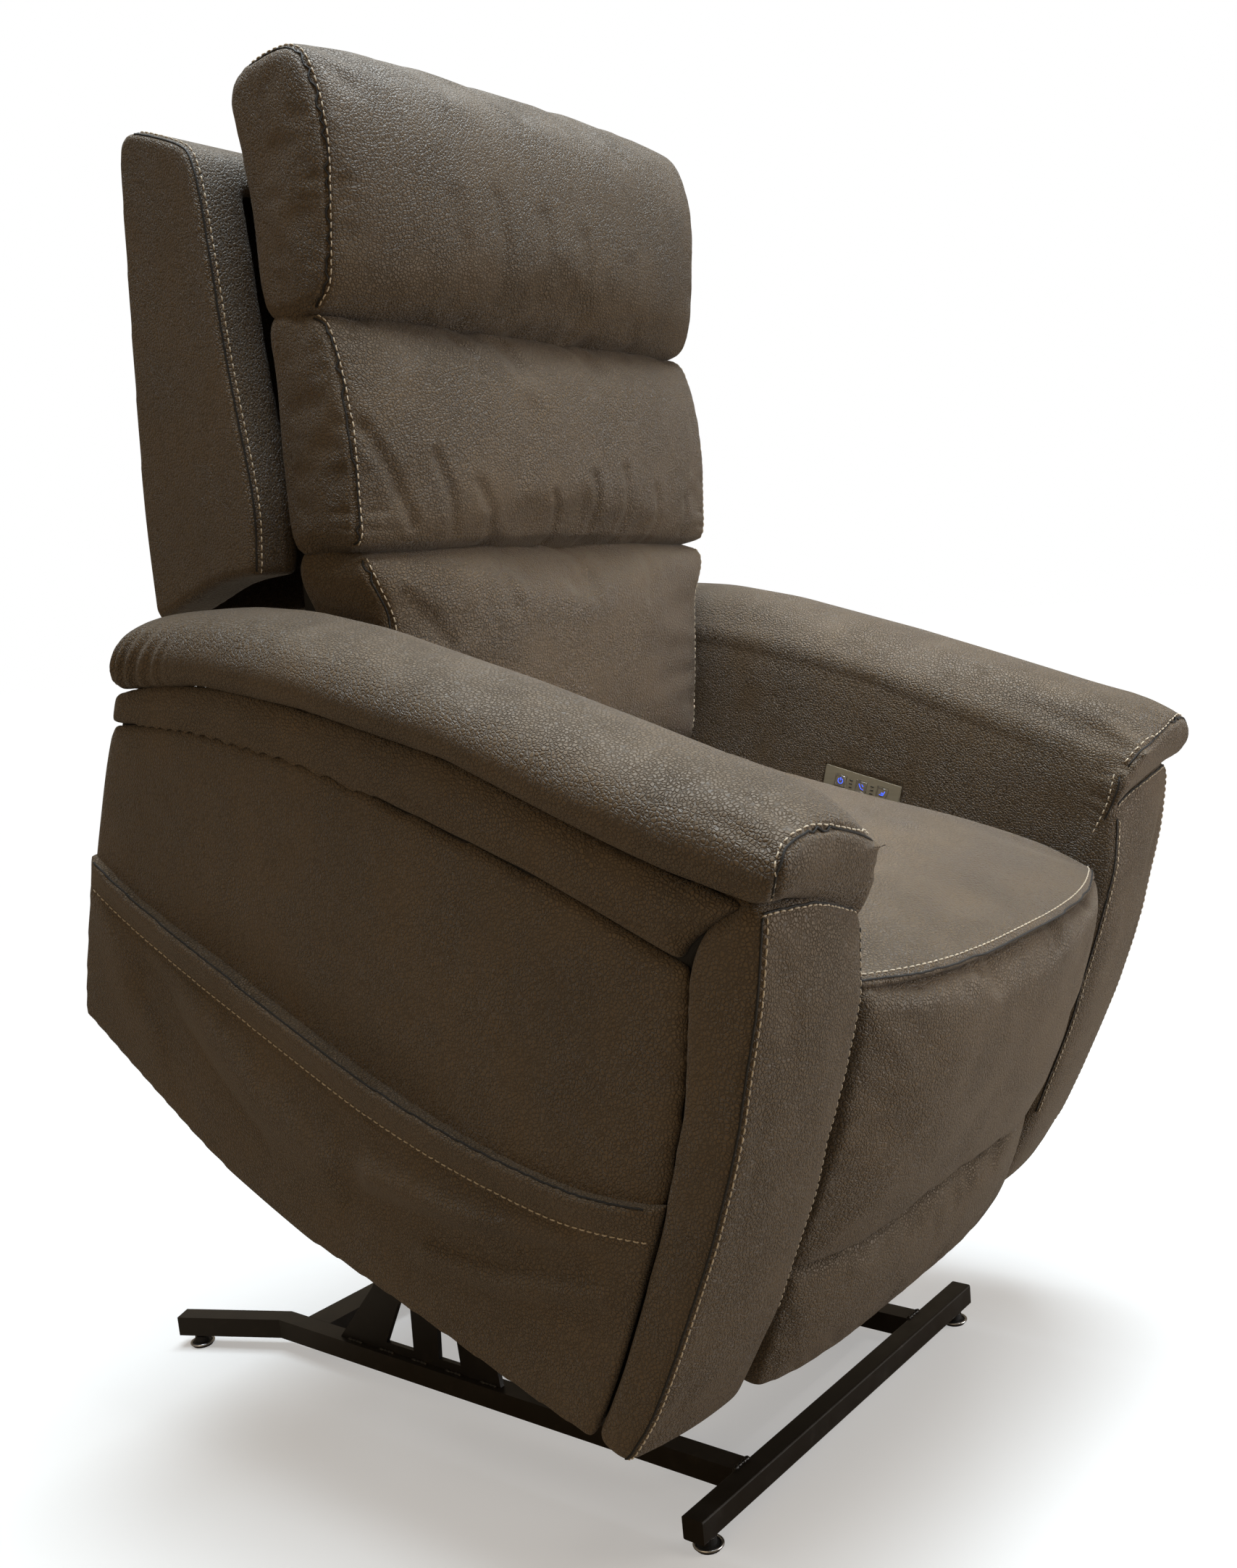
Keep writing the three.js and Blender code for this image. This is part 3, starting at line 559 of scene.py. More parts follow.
def paint_material(name, colour, roughness, worn, speckle=900.0):
    """Painted or coated steel with a faint orange peel and rubbed edges."""
    made, tree = material(name)
    scuffs = ranged(tree, noise(tree, 60.0, 6.0, 0.7), 0.55, 0.75, 0.0, 0.35)
    wear = mathed(tree, "ADD", rubbed(tree, 0.54, 0.62, 0.35), scuffs)
    dust = ranged(tree, noise(tree, 9.0, 5.0, 0.6), 0.4, 0.8, 0.0, 0.10)
    base = mixed(tree, wear, colour, worn)
    base = mixed(tree, dust, base, shade(worn, 0.8))
    peel = bumped(tree, noise(tree, speckle, 2.0), 0.25, 0.0003)
    rough = ranged(tree, noise(tree, 30.0, 4.0), 0.3, 0.7, roughness - 0.06, roughness + 0.1)
    return surfaced(made, tree, base, rough, peel, {"Specular IOR Level": 0.32})


def metal_material(name, colour, roughness, stretch, metallic=1.0):
    """Brushed metal, its lines drawn out along one axis."""
    made, tree = material(name)
    drawn = vector_math(tree, "MULTIPLY", object_space(tree), stretch)
    lines = noise(tree, 300.0, 4.0, 0.6, drawn)
    base = mixed(tree, lines, shade(colour, 0.8), shade(colour, 1.15))
    rough = ranged(tree, lines, 0.3, 0.7, roughness - 0.06, roughness + 0.08)
    return surfaced(made, tree, base, rough, bumped(tree, lines, 0.15, 0.0002),
                    {"Metallic": metallic})


def plywood_material(name):
    """Birch plywood with a drawn grain."""
    made, tree = material(name)
    drawn = vector_math(tree, "MULTIPLY", object_space(tree), (1.0, 0.12, 1.0))
    grain = noise(tree, 120.0, 6.0, 0.65, drawn)
    tone = ranged(tree, grain, 0.35, 0.7)
    base = mixed(tree, tone, (0.36, 0.23, 0.12, 1.0), (0.52, 0.37, 0.22, 1.0))
    return surfaced(made, tree, base, 0.6, bumped(tree, grain, 0.2, 0.0004))


def cloth_material(name, colour):
    """Thin woven lining cloth."""
    made, tree = material(name)
    warp, weft = [node(tree, "ShaderNodeTexWave", {"Vector": object_space(tree), "Scale": 400.0},
                       bands_direction=axis).outputs["Fac"] for axis in "XZ"]
    weave = mathed(tree, "MULTIPLY", warp, weft)
    base = mixed(tree, weave, shade(colour, 0.7), shade(colour, 1.3))
    return surfaced(made, tree, base, 0.85, bumped(tree, weave, 0.4, 0.0004))


leather = leather_material("leather")
pale_thread = thread_material("pale_thread", (0.50, 0.42, 0.31, 1.0), 0.3)
dark_thread = thread_material("dark_thread", (0.006, 0.0045, 0.0035, 1.0), 0.0)
black_paint = paint_material("black_paint", (0.004, 0.0036, 0.0035, 1.0), 0.34,
                             (0.030, 0.024, 0.018, 1.0))
black_moulding = paint_material("black_moulding", (0.014, 0.014, 0.015, 1.0), 0.5,
                                (0.03, 0.03, 0.03, 1.0), 2500.0)
zinc = metal_material("zinc", (0.55, 0.55, 0.56, 1.0), 0.3, (0.1, 1.0, 1.0))
champagne = metal_material("champagne", (0.30, 0.27, 0.20, 1.0), 0.36, (1.0, 0.05, 1.0), 0.35)
button_finish = metal_material("button_finish", (0.27, 0.24, 0.18, 1.0), 0.42, (1.0, 1.0, 1.0),
                               0.35)
plywood = plywood_material("plywood")
lining = cloth_material("lining", (0.014, 0.013, 0.013, 1.0))

FINISHES = {
    "leather": leather, "black_steel": black_paint, "zinc_steel": zinc,
    "black_plastic": black_moulding, "wood": plywood, "webbing": lining,
    "champagne_metal": champagne, "button_metal": button_finish,
}

# Frames that are wrapped in lining cloth inside the backrest.
HIDDEN_FINISHES = {"back_frame": lining, "headrest_board": lining}


def paint_frame():
    """Gives every CAD node the node-based material of its slot."""
    for part in frame["record"]["subparts"]:
        mesh = frame["nodes"][part["node"]].data
        mesh.materials.clear()
        mesh.materials.append(HIDDEN_FINISHES.get(part["node"], FINISHES[part["material_slot"]]))


# ---------------------------------------------------------------- pads

PAD_MESH = 0.006
SEAM_HOLD = 0.006


def settle(obj, local, body, finish=leather, nodes=(), bend=None):
    """Puts a piece in its place, with its material, in place of CAD nodes: on its body, or baked
    into the world where a bend is given.
    """
    obj.data.transform(local)
    obj.data.materials.clear()
    obj.data.materials.append(finish)
    obj.data.shade_smooth()
    if bend:
        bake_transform(obj)
    else:
        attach(obj, body)
    if nodes:
        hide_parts(*nodes)


def sew(obj, local, body, seams=(), stitches=(), bend=None):
    """Adds a piece's seams and topstitching. Call it before the piece is settled."""
    if seams:
        cords = seam_cords(obj.name + "_seams", obj, seams)
        settle(cords, local, body, dark_thread, bend=bend)
    if stitches:
        rows = stitching(obj.name + "_stitching", obj, stitches)
        settle(rows, local, body, pale_thread, bend=bend)


def pair(obj, finish=leather, node_name=None, seams=(), stitches=()):
    """Mirrors a piece of the left arm to the right and settles both on the carriage."""
    other = mirrored(obj, obj.name.replace("left", "right"))
    for piece, side, turn in ((obj, "left", list), (other, "right", mirrored_lines)):
        sew(piece, CHAIR, "carriage", turn(seams), turn(stitches))
        nodes = [node_name + side] if node_name else ()
        settle(piece, CHAIR, "carriage", finish, nodes)


def across(name, side, middle, half, edge, power=4.0, count=110):
    """A pad lofted across the chair from its side outline to its middle outline and back."""
    side = curve(side, count, closed=True)
    middle = curve(middle, count, closed=True)
    ends = half - edge + edge * np.sin(np.linspace(math.pi / 2, 0, 7))
    inner = np.linspace(half - edge, 0, 13)[1:]
    stations = np.r_[-ends, -inner, inner[:-1][::-1], ends[::-1]]
    rings = []
    for x in stations:
        share = 1 - min(1.0, abs(x) / half) ** power
        beyond = max(0.0, (abs(x) - (half - edge)) / edge)
        ring = inset(side + (middle - side) * share, edge * (1 - math.sqrt(1 - beyond ** 2)))
        rings.append(at_x(x, ring))
    return loft(name, rings)


def blow_up(obj, seams, held, hold=SEAM_HOLD, **settings):
    """Puffs a pad that is held along its seams and where it meets the frame, and smooths it."""
    co = points_of(obj)
    for seam in seams:
        held = held | (distance_to(co, seam) < hold)
    puff(obj, held, **settings)
    subdivide(obj)


def bolster(name, side, middle, half, seam, flare=0.0, bend=None, body="back",
            gathers=0.0014, strokes=()):
    """One pillow of the backrest: crowned face, side gussets and a topstitched front seam."""
    def on_both_sides(inwards):
        lines = [line_at(sign * (half - inwards), seam) for sign in (-1, 1)]
        for line in lines:
            line[:, 0] *= flared(line[:, 2], flare)
        return lines

    obj = across(name + "_cover", side, middle, half, 12)
    remesh(obj, PAD_MESH)
    co = points_of(obj)
    co[:, 0] *= flared(co[:, 2], flare)
    move_to(obj, co)
    edges = on_both_sides(4)
    blow_up(obj, edges, co[:, 1] > 0.045, pressure=3.0, spread=0.006, cap=0.011, bending=6.0)
    for edge in edges:
        press(obj, edge, 0.004, 0.004)
        puckers(obj, edge, gathers, 0.030, 0.027)
    folds(obj, strokes)
    sew(obj, BACK, body, edges, on_both_sides(10), bend)
    settle(obj, BACK, body, nodes=[name], bend=bend)


def flared(h, flare):
    """How much wider a pillow is at this height, above the arms."""
    return 1 + flare * smoothstep(0.270, 0.335, h)


def head_bolster():
    side = [(71, 584), (81, 680), (90, 743), (98, 784), (90, 806), (64, 818), (8, 822),
            (-20, 800), (-36, 740), (-32, 664), (-22, 604), (0, 580)]
    middle = [(71, 584), (81, 680), (90, 743), (97, 796), (88, 824), (56, 838), (2, 836),
              (-38, 808), (-60, 752), (-66, 690), (-64, 640), (-54, 600), (-24, 577)]
    seam = [(64, 819), (8, 823), (-20, 800), (-36, 740), (-32, 664), (-22, 604), (-2, 583)]
    strokes = [(-158, 690, -150, 606, 13, 1.6), (-98, 700, -90, 600, 10, 1.8),
               (-28, 690, -22, 600, 12, 1.8), (38, 680, 40, 600, 11, 1.6),
               (120, 660, 118, 600, 12, 1.2)]
    bolster("head_bolster", side, middle, 300, seam, body="headrest", strokes=strokes,
            bend=("back", (0, 0, 0.590), (0, 0, 0.690)))


def middle_bolster():
    side = [(68, 581), (70, 512), (72, 433), (64, 353), (20, 350), (-22, 350), (-34, 362),
            (-36, 395), (-37, 455), (-29, 515), (-15, 562), (6, 578)]
    middle = [(68, 583), (68, 512), (70, 433), (64, 353), (0, 350), (-46, 350), (-59, 362),
              (-62, 400), (-63, 470), (-57, 522), (-42, 556), (-18, 578)]
    seam = [(2, 577), (-15, 562), (-29, 515), (-37, 455), (-36, 395), (-35, 364), (-26, 352)]
    strokes = [(-286, 470, -236, 372, 8, 3.2), (-205, 440, -182, 365, 8, 2.6),
               (-150, 412, -124, 358, 8, 2.6), (-62, 490, -108, 385, 16, 2.2),
               (-34, 402, -18, 354, 6, 3.0), (34, 424, 42, 354, 7, 2.8), (92, 432, 98, 354, 8, 2.6),
               (156, 412, 160, 354, 7, 2.4), (226, 400, 226, 358, 9, 2.0),
               (-140, 566, -128, 528, 8, 2.2), (-60, 566, -70, 530, 9, 2.0),
               (60, 560, 52, 520, 10, 1.6), (264, 500, 250, 440, 10, 1.8)]
    bolster("middle_bolster", side, middle, 300, seam, gathers=0.0032, strokes=strokes)


def lower_bolster():
    side = [(68, 345), (72, 200), (66, 122), (-6, 96), (-26, 104), (-34, 180), (-38, 260),
            (-37, 320), (-30, 340), (0, 346)]
    middle = [(68, 345), (72, 200), (66, 122), (-10, 92), (-32, 98), (-48, 160), (-58, 235),
              (-63, 300), (-60, 332), (-46, 345), (0, 347)]
    seam = [(-28, 341), (-37, 320), (-38, 260), (-34, 180), (-27, 108)]
    strokes = [(-250, 300, -200, 250, 10, 2.4), (-120, 325, -112, 285, 10, 1.8),
               (20, 330, 26, 290, 11, 1.6), (140, 325, 132, 285, 10, 1.6)]
    bolster("lower_bolster", side, middle, 268, seam, 0.09, strokes=strokes)


def seat_cushion():
    side = [(38, 519), (44, 526), (110, 527), (200, 512), (300, 488), (450, 462), (556, 446),
            (568, 430), (556, 382), (330, 412), (140, 440), (100, 470)]
    middle = [(2, 523), (3, 530), (30, 537), (100, 538), (200, 528), (300, 504), (450, 474),
              (560, 450), (570, 430), (556, 382), (330, 412), (140, 440), (84, 472)]
    obj = across("seat_cushion_cover", side, middle, 268, 16, power=3.0)
    remesh(obj, PAD_MESH)
    co = points_of(obj)
    seam = seat_seam(0)
    below = co[:, 2] < 0.45 - 0.05 * co[:, 1]
    ahead = (co[:, 1] < 0.05) & (co[:, 2] < 0.527)
    blow_up(obj, [seam], below | ahead, pressure=2.5, spread=-0.002, cap=0.010, bending=8.0)
    press(obj, seam, 0.004, 0.002)
    sew(obj, CHAIR, "carriage", [seam], [seat_seam(7)])
    settle(obj, CHAIR, "carriage", nodes=["seat_cushion"])


def seat_seam(back):
    """The seam over the front edge of the seat, moved back by some millimetres."""
    half, sweep, height = 262, 38, 529.0
    x = np.linspace(-half, half, 60)
    v = 1 + back + sweep * (np.abs(x) / half) ** 3
    return np.column_stack([x, v, np.full(60, height + 0.6 * back)]) * MM


def footrest_pads():
    side = [(94, 505), (94, 360), (94, 232), (40, 228), (12, 229), (5, 240), (3, 300), (4, 364),
            (14, 440), (26, 502), (34, 517), (60, 518)]
    middle = [(94, 505), (94, 360), (94, 232), (20, 227), (-8, 229), (-17, 240), (-22, 290),
              (-23, 350), (-19, 430), (-8, 502), (3, 519), (50, 520)]
    footrest_pad("main", side, middle, [(26, 500), (4, 364), (5, 240)], 0.010)
    side = [(94, 224), (94, 90), (30, 84), (8, 86), (0, 96), (0, 160), (3, 214), (10, 225),
            (40, 226)]
    middle = [(94, 224), (94, 90), (14, 80), (-12, 83), (-20, 94), (-22, 150), (-16, 212),
              (-8, 225), (20, 226)]
    footrest_pad("lower", side, middle, [(3, 214), (0, 160), (0, 96)], 0.007, 0.091)


def footrest_pad(name, side, middle, gathered, cap, underside=0.0):
    """A pad blown up between its gathered side edges, but not below its underside's height."""
    obj = across(f"footrest_{name}_cover", side, middle, 264, 12)
    remesh(obj, PAD_MESH)
    co = points_of(obj)
    edges = [line_at(sign * 263, gathered) for sign in (-1, 1)]
    blow_up(obj, edges, (co[:, 1] > 0.06) | (co[:, 2] < underside), 0.005,
            pressure=2.5, spread=0.010, cap=cap, bending=4.0)
    settle(obj, CHAIR, "footrest", nodes=[f"footrest_{name}_pad"])


# ---------------------------------------------------------------- arms

ARM_MESH = 0.0055
PLATE_MIDDLE = (351, 483)
PLATE_SLOPE = math.radians(8.6)
PLEAT_PITCH = 15
PLEAT_HEIGHT = 0.0022
PAD_LOWER = [(44, 660), (46, 646), (52, 635), (66, 626), (112, 619), (150, 613), (228, 607),
             (395, 600), (580, 569), (725, 533), (846, 480), (864, 488), (872, 507)]
PAD_UPPER = [(44, 664), (46, 676), (52, 688), (64, 696), (95, 698), (164, 689), (280, 679),
             (400, 667), (584, 643), (685, 622), (759, 598), (836, 564), (862, 535), (872, 509)]
# Round the small front cap of the arm pad, and down the front edge of its inner wall.
CAP_SEAM = [(432, 50, 634), (441, 47, 648), (444, 49, 666), (438, 52, 684), (415, 53, 690),
            (375, 53, 686), (330, 52, 672), (302, 53, 657), (288, 56, 641)]
ARM_EDGE_SEAM = [(281, 58, 628), (279, 54, 612), (277, 52, 590), (277, 54, 560), (277, 58, 530)]


def arm_ring(v, count=120):
    """The cross-section of the arm pad and its inner wall at this v, as (x, v, w)."""
    front, rear, middle, wall_foot = 44, 872, 362, 400
    low, high = read_off(PAD_LOWER, v), read_off(PAD_UPPER, v)
    rise = high - low
    deep = 592 - (592 - wall_foot) * smoothstep(52, 62, v)
    share = smoothstep(front, 50, v) * (1 - smoothstep(838, 850, v))
    nose = 1 - smoothstep(46, 120, v)
    inner = high - (np.array([0.03, 0.24, 0.62, 1.05])
                    + nose * np.array([0.14, 0.22, 0.18, 0.05])) * rise
    closing = math.sqrt(1 - max(0.0, 1 - (v - front) / 12) ** 2)
    under = (1 - smoothstep(70, 130, v)) * closing
    floor = low + (deep - low) * share - 40 * (1 - share) * under
    wall = [(277.4, inner[3] + (floor - inner[3]) * part) for part in (0.25, 0.6, 1)]
    line = [(437, low), (449, low + 0.26 * rise), (449, low + 0.52 * rise),
            (438, low + 0.78 * rise), (410, high - 0.05 * rise), (374, high),
            (332, inner[0]), (302, inner[1]), (286, inner[2]), (279, inner[3]), *wall,
            (288, floor), (289, (floor + low - 34 * under) / 2), (295, low - 34 * under),
            (330, low - 25 * under), (368, low - 12 * under), (405, low - 2 * under)]
    ring = curve(line, count, closed=True)
    narrow = 1 - 0.16 * (1 - closing) - 0.25 * smoothstep(838, rear, v)
    ring[:, 0] = middle + (ring[:, 0] - middle) * narrow
    return np.column_stack([ring[:, 0], np.full(count, float(v)), ring[:, 1]])


def arm_pads():
    stations = np.r_[44, 45, 47, 50, 54, 58, 64, 72, 82, np.arange(95, 831, 20), 838, 844,
                     850, 856, 862, 867, 870, 872]
    obj = loft("arm_pad_left_cover", [arm_ring(v) for v in stations])
    remesh(obj, ARM_MESH)
    x, v, w = points_of(obj).T * 1000
    low, high = read_off(PAD_LOWER, v), read_off(PAD_UPPER, v)
    cap_line, front = seam_line(CAP_SEAM, 60), seam_line(ARM_EDGE_SEAM, 40)
    held = (w < low + 6) | ((x < 296) & (w < 2.1 * low - 1.1 * high))
    blow_up(obj, [cap_line], held, pressure=2.0, spread=-0.003, cap=0.005, bending=8.0)
    pleat(obj)
    recess(obj)
    press(obj, cap_line, 0.004, 0.004)
    press(obj, front, 0.003, 0.002)
    puckers(obj, front, 0.0035, 0.026, 0.021)
    puckers(obj, cap_line, 0.0012, 0.012, 0.013)
    rows = [seam_line(CAP_SEAM, 60, (0, 6, 0)), seam_line(ARM_EDGE_SEAM, 40, (0, 7, 0))]
    pair(obj, leather, "arm_pad_", [cap_line, front], rows)


def recess(obj):
    """Flattens the inner wall behind the control plate."""
    co = points_of(obj)
    v, w = co[:, 1] * 1000 - PLATE_MIDDLE[0], co[:, 2] * 1000 - PLATE_MIDDLE[1]
    along = v * math.cos(PLATE_SLOPE) - w * math.sin(PLATE_SLOPE)
    up = v * math.sin(PLATE_SLOPE) + w * math.cos(PLATE_SLOPE)
    behind = (co[:, 0] < 0.282) & (np.abs(along) < 56) & (np.abs(up) < 17)
    co[behind, 0] = np.maximum(co[behind, 0], 0.2788)
    move_to(obj, co)


def pleat(obj):
    """Presses the gathered pleats into the rear end of the arm pad."""
    co = points_of(obj)
    v, w = co[:, 1] * 1000, co[:, 2] * 1000
    low, high = read_off(PAD_LOWER, v), read_off(PAD_UPPER, v)
    up = (w - low) / np.maximum(high - low, 1)
    strength = smoothstep(735, 800, v) * (1 - smoothstep(848, 862, v))
    strength *= smoothstep(-0.05, 0.1, up) * (1 - smoothstep(0.45, 0.95, up))
    strength *= co[:, 0] > 0.36
    wave = np.sin(2 * math.pi * (v + 8 * np.sin(v / 23) + 14 * up) / PLEAT_PITCH)
    co += normals_of(obj) * (strength * wave * PLEAT_HEIGHT)[:, None]
    move_to(obj, co)


FRONT_OUTER = [(19, 86), (7, 150), (5, 217), (5, 287), (6, 347), (10, 402), (15, 448), (23, 490),
               (33, 550), (44, 589), (57, 628)]
FRONT_INNER = [(3, 86), (-2, 152), (-7, 209), (-4, 331), (8, 448), (21, 543), (34, 585),
               (48, 628)]
FRONT_REAR = [(57, 86), (53, 174), (57, 313), (73, 440), (104, 545), (108, 628)]
# Along the top of the arm front, under the cap.
FRONT_TOP_SEAM = [(438, 50, 634), (420, 48, 636), (360, 44, 630), (311, 42, 622), (286, 42, 608)]


def front_ring(w, bottom, top, edge):
    """The cross-section of the arm front at this height, drawn in towards its two ends."""
    near_end = min(w - bottom, top - w)
    pulled = edge * (1 - math.sqrt(max(0.0, 1 - max(0.0, 1 - near_end / edge) ** 2)))
    outer, inner, rear = [read_off(line, w, 1) for line in (FRONT_OUTER, FRONT_INNER, FRONT_REAR)]
    corners = [(440, rear - 1), (440.5, outer), (360, (outer + inner) / 2 - 9), (278, inner),
               (278, rear + 8), (300, rear + 8)]
    ring = inset(rounded(corners, [6, 13, 60, 20, 5, 5], 90), pulled * 0.8)
    slant = np.interp(w, [560, 585, 605, 622], [120, 97, 83, 72])
    ring[(ring[:, 1] > slant) & (ring[:, 0] > 424), 0] = 424
    drop = 27 * smoothstep(0.35, 1.0, (441 - ring[:, 0]) / 163) * smoothstep(470, 626, w)
    return np.column_stack([ring, w - drop])


def front_pads():
    bottom, top, edge = 87, 626, 16
    ends = edge * (1 - np.sin(np.linspace(0, math.pi / 2, 6)))
    stations = np.r_[bottom + ends[::-1], np.linspace(bottom + edge, top - edge, 34)[1:-1],
                     top - ends]
    obj = loft("front_pad_left_cover", [front_ring(w, bottom, top, edge) for w in stations])
    remesh(obj, ARM_MESH)
    v, w = points_of(obj).T[1:] * 1000
    outer = [(440, *point) for point in FRONT_OUTER[:-2]] + [(438, 50, 612), (436, 52, 624)]
    inner = [(280, *point) for point in FRONT_INNER[2:-1]]
    seams = [seam_line(outer, 90), seam_line(FRONT_TOP_SEAM, 30), seam_line(inner, 60)]
    blow_up(obj, seams[:1], v > read_off(FRONT_REAR, w, 1) - 9,
            pressure=2.5, spread=-0.002, cap=0.007, bending=6.0)
    for seam, depth in zip(seams, (0.003, 0.002, 0.002)):
        press(obj, seam, 0.0035, depth)
    puckers(obj, seams[1], 0.0018, 0.012, 0.014)
    rows = [seam_line(outer, 90, (-7, 0, 0)), seam_line(FRONT_TOP_SEAM, 30, (0, 0, -6)),
            seam_line(inner, 60, (6, 0, 0))]
    pair(obj, leather, "front_pad_", seams, rows)


# ---------------------------------------------------------------- sides

BAND_TOP = [(850, 474), (790, 507), (725, 532), (661, 552), (580, 568), (484, 586), (395, 599),
            (310, 604), (228, 606), (150, 612), (112, 617), (84, 620)]
BAND_BOTTOM = [(851, 438), (782, 466), (715, 488), (671, 498), (567, 520), (469, 530), (377, 538),
               (291, 545), (210, 548), (134, 549), (112, 550)]
BAND_FRONT = [(111, 566), (100, 585), (86, 605), (74, 618)]
SIDE_REAR = [(851, 436), (855, 388), (855, 329), (853, 268), (841, 156), (831, 96)]
SIDE_BOTTOM = [(831, 96), (708, 73), (576, 52), (457, 49), (380, 57), (258, 70), (153, 80),
               (66, 90)]
SIDE_FRONT = [(59, 92), (55, 174), (59, 313), (75, 440), (105, 550)]
POCKET_HEM = [(853, 289), (747, 278), (624, 273), (509, 271), (403, 271), (306, 279), (218, 294),
              (138, 314), (60, 348)]
# Soft folds of the pocket as (v, w, v, w, width, height).
POCKET_FOLDS = [(150, 268, 363, 184, 20, 11), (107, 252, 369, 130, 22, -9),
                (89, 236, 283, 147, 19, 10), (90, 205, 263, 113, 24, -8),
                (721, 185, 543, 100, 32, -10), (640, 215, 430, 155, 34, 9),
                (800, 225, 700, 150, 36, 7)]


def extruded(name, outline, steps):
    """A solid of one flat outline, drawn in by so many millimetres at each (x, inset) step."""
    return loft(name, [at_x(x, inset(outline, pull)) for x, pull in steps])


def panel(name, outline, inner, outer, edge, voxel):
    """A flat leather panel of the chair's side between two x, its outer edge rounded."""
    line = spaced(np.vstack([outline, outline[:1]]), 260, closed=True)
    obj = extruded(name, line, ((inner, 0), (outer - edge, 0), (outer - edge * 0.3, edge * 0.3),
                                (outer, edge)))
    remesh(obj, voxel)
    return obj, line * MM


def crown(obj, outline, depth, reach, inner):
    """Raises the outer face of a side panel away from its sewn outline."""
    co = points_of(obj)
    near = distance_to(co[:, 1:], np.vstack([outline, outline[:1]]))
    co[:, 0] += depth * (1 - np.exp(-near / reach)) * (co[:, 0] > inner)
    move_to(obj, co)


def side_outline(top):
    """The outline of the chair's side below a line that runs from the rear to the front."""
    return np.vstack([curve(top[::-1], 50), curve(SIDE_REAR, 20)[1:],
                      curve(SIDE_BOTTOM, 40)[1:], curve(SIDE_FRONT, 30)])


def side_panels():
    obj, outline = panel("side_panel_left_cover", side_outline(BAND_BOTTOM), 424, 437, 5, 0.006)
    crown(obj, outline, 0.004, 0.03, 0.430)
    sink(obj)
    subdivide(obj)
    pair(obj, leather, "side_panel_")
    # A dark lining sheet behind the side panels, as painted shade: it shows black through the gaps
    # between the band and the panels.
    whole = inset(side_outline(BAND_TOP), 3)
    gap_shade_sheet, _ = panel("side_backing_left", whole, 405, 428, 2, 0.008)
    pair(gap_shade_sheet, lining)
    strip = np.vstack([curve(BAND_TOP[::-1], 50), curve(BAND_BOTTOM, 50), BAND_FRONT])
    obj, outline = panel("side_band_left", strip, 424, 436, 5, 0.005)
    crown(obj, outline, 0.008, 0.012, 0.428)
    subdivide(obj)
    pair(obj)


def arm_backs():
    """The leather that closes the rear end of each arm, slightly domed."""
    rear = curve(SIDE_REAR, 30) - (0, 2)
    line = np.vstack([rear, rear[::-1] - (24, 0)])
    obj = extruded("arm_back_left", line,
                   ((280, 6), (282, 2), (286, 0), (424, 0), (430, 2), (433, 6)))
    remesh(obj, PAD_MESH)
    co = points_of(obj)
    off_centre = (co[:, 0] * 1000 - 356) / 76
    behind = co[:, 1] * 1000 > read_off(rear, co[:, 2] * 1000, 1) - 8
    co[:, 1] += 0.006 * np.maximum(1 - off_centre ** 2, 0) * behind
    move_to(obj, co)
    subdivide(obj)
    pair(obj)


def sink(obj):
    """Draws the side panel in above the mouth of the pocket, whose weight pulls it."""
    co = points_of(obj)
    v, w = co[:, 1] * 1000, co[:, 2] * 1000
    above = (w - read_off(POCKET_HEM, v) - 6) / 34
    pull = np.exp(-above ** 2) * smoothstep(190, 420, v) * (1 - smoothstep(600, 780, v))
    co[:, 0] -= 0.006 * pull * (co[:, 0] > 0.432)
    move_to(obj, co)


def pocket_folds(v, w, below):
    """How far the pocket stands out at (v, w) mm, from how far below the hem it is."""
    stand = 11 * np.exp(-below / 30) + 2.0
    hem = 3.0 * np.exp(-((below - 12) / 11) ** 2) - 3.2 * np.exp(-((below - 38) / 4) ** 2)
    folded = np.zeros(len(v))
    for v0, w0, v1, w1, width, height in POCKET_FOLDS:
        line = np.array([(v0, w0), ((v0 + v1) / 2, (w0 + w1) / 2 - 12), (v1, w1)])
        near = distance_to(np.column_stack([v, w]), line)
        folded += height * np.exp(-(near / width) ** 2)
    return stand + hem + folded * smoothstep(36, 70, below)


def side_pockets():
    hem = curve(POCKET_HEM, 60)
    rear = curve([(853, 289), (841, 156), (831, 95)], 20)
    bottom = curve(SIDE_BOTTOM, 40)
    front = curve([(58, 92), (54, 174), (58, 313), (60, 348)], 24)
    outline = np.vstack([hem[::-1], rear[1:], bottom[1:], front[:-1]])
    obj, _ = panel("side_pocket_left_cover", outline, 429, 441, 2.0, 0.004)
    co = points_of(obj)
    v, w = co[:, 1] * 1000, co[:, 2] * 1000
    below = np.maximum(read_off(hem, v) - w, 0)
    sewn = np.vstack([rear, bottom, front]) * MM
    free = 1 - np.exp(-distance_to(co[:, 1:], sewn) / 0.022)
    co[:, 0] += np.maximum(pocket_folds(v, w, below), 0.5) * free * MM * (co[:, 0] > 0.439)
    move_to(obj, co)
    subdivide(obj)
    row = at_x(446, hem - (0, 38))[1:] * MM
    # The dark cord along the pocket's mouth is painted shade. It is sewn as a seam, but it stands
    # in for the shadow in the gap above the hem.
    mouth = at_x(450, hem + (0, 0.5))[1:-1] * MM
    pair(obj, leather, "side_pocket_", [mouth], [row])


# ---------------------------------------------------------------- backrest shell

SHELL_SPINE = [(111, 712), (122, 744), (150, 760), (205, 778), (226, 774), (236, 750), (246, 640),
               (254, 540), (263, 400), (260, 288)]
SHELL_FRONT = [(81, 330), (74, 400), (88, 500), (96, 560), (104, 650), (111, 712)]
SHELL_ARCH = [(260, 286), (210, 302), (148, 322), (81, 330)]


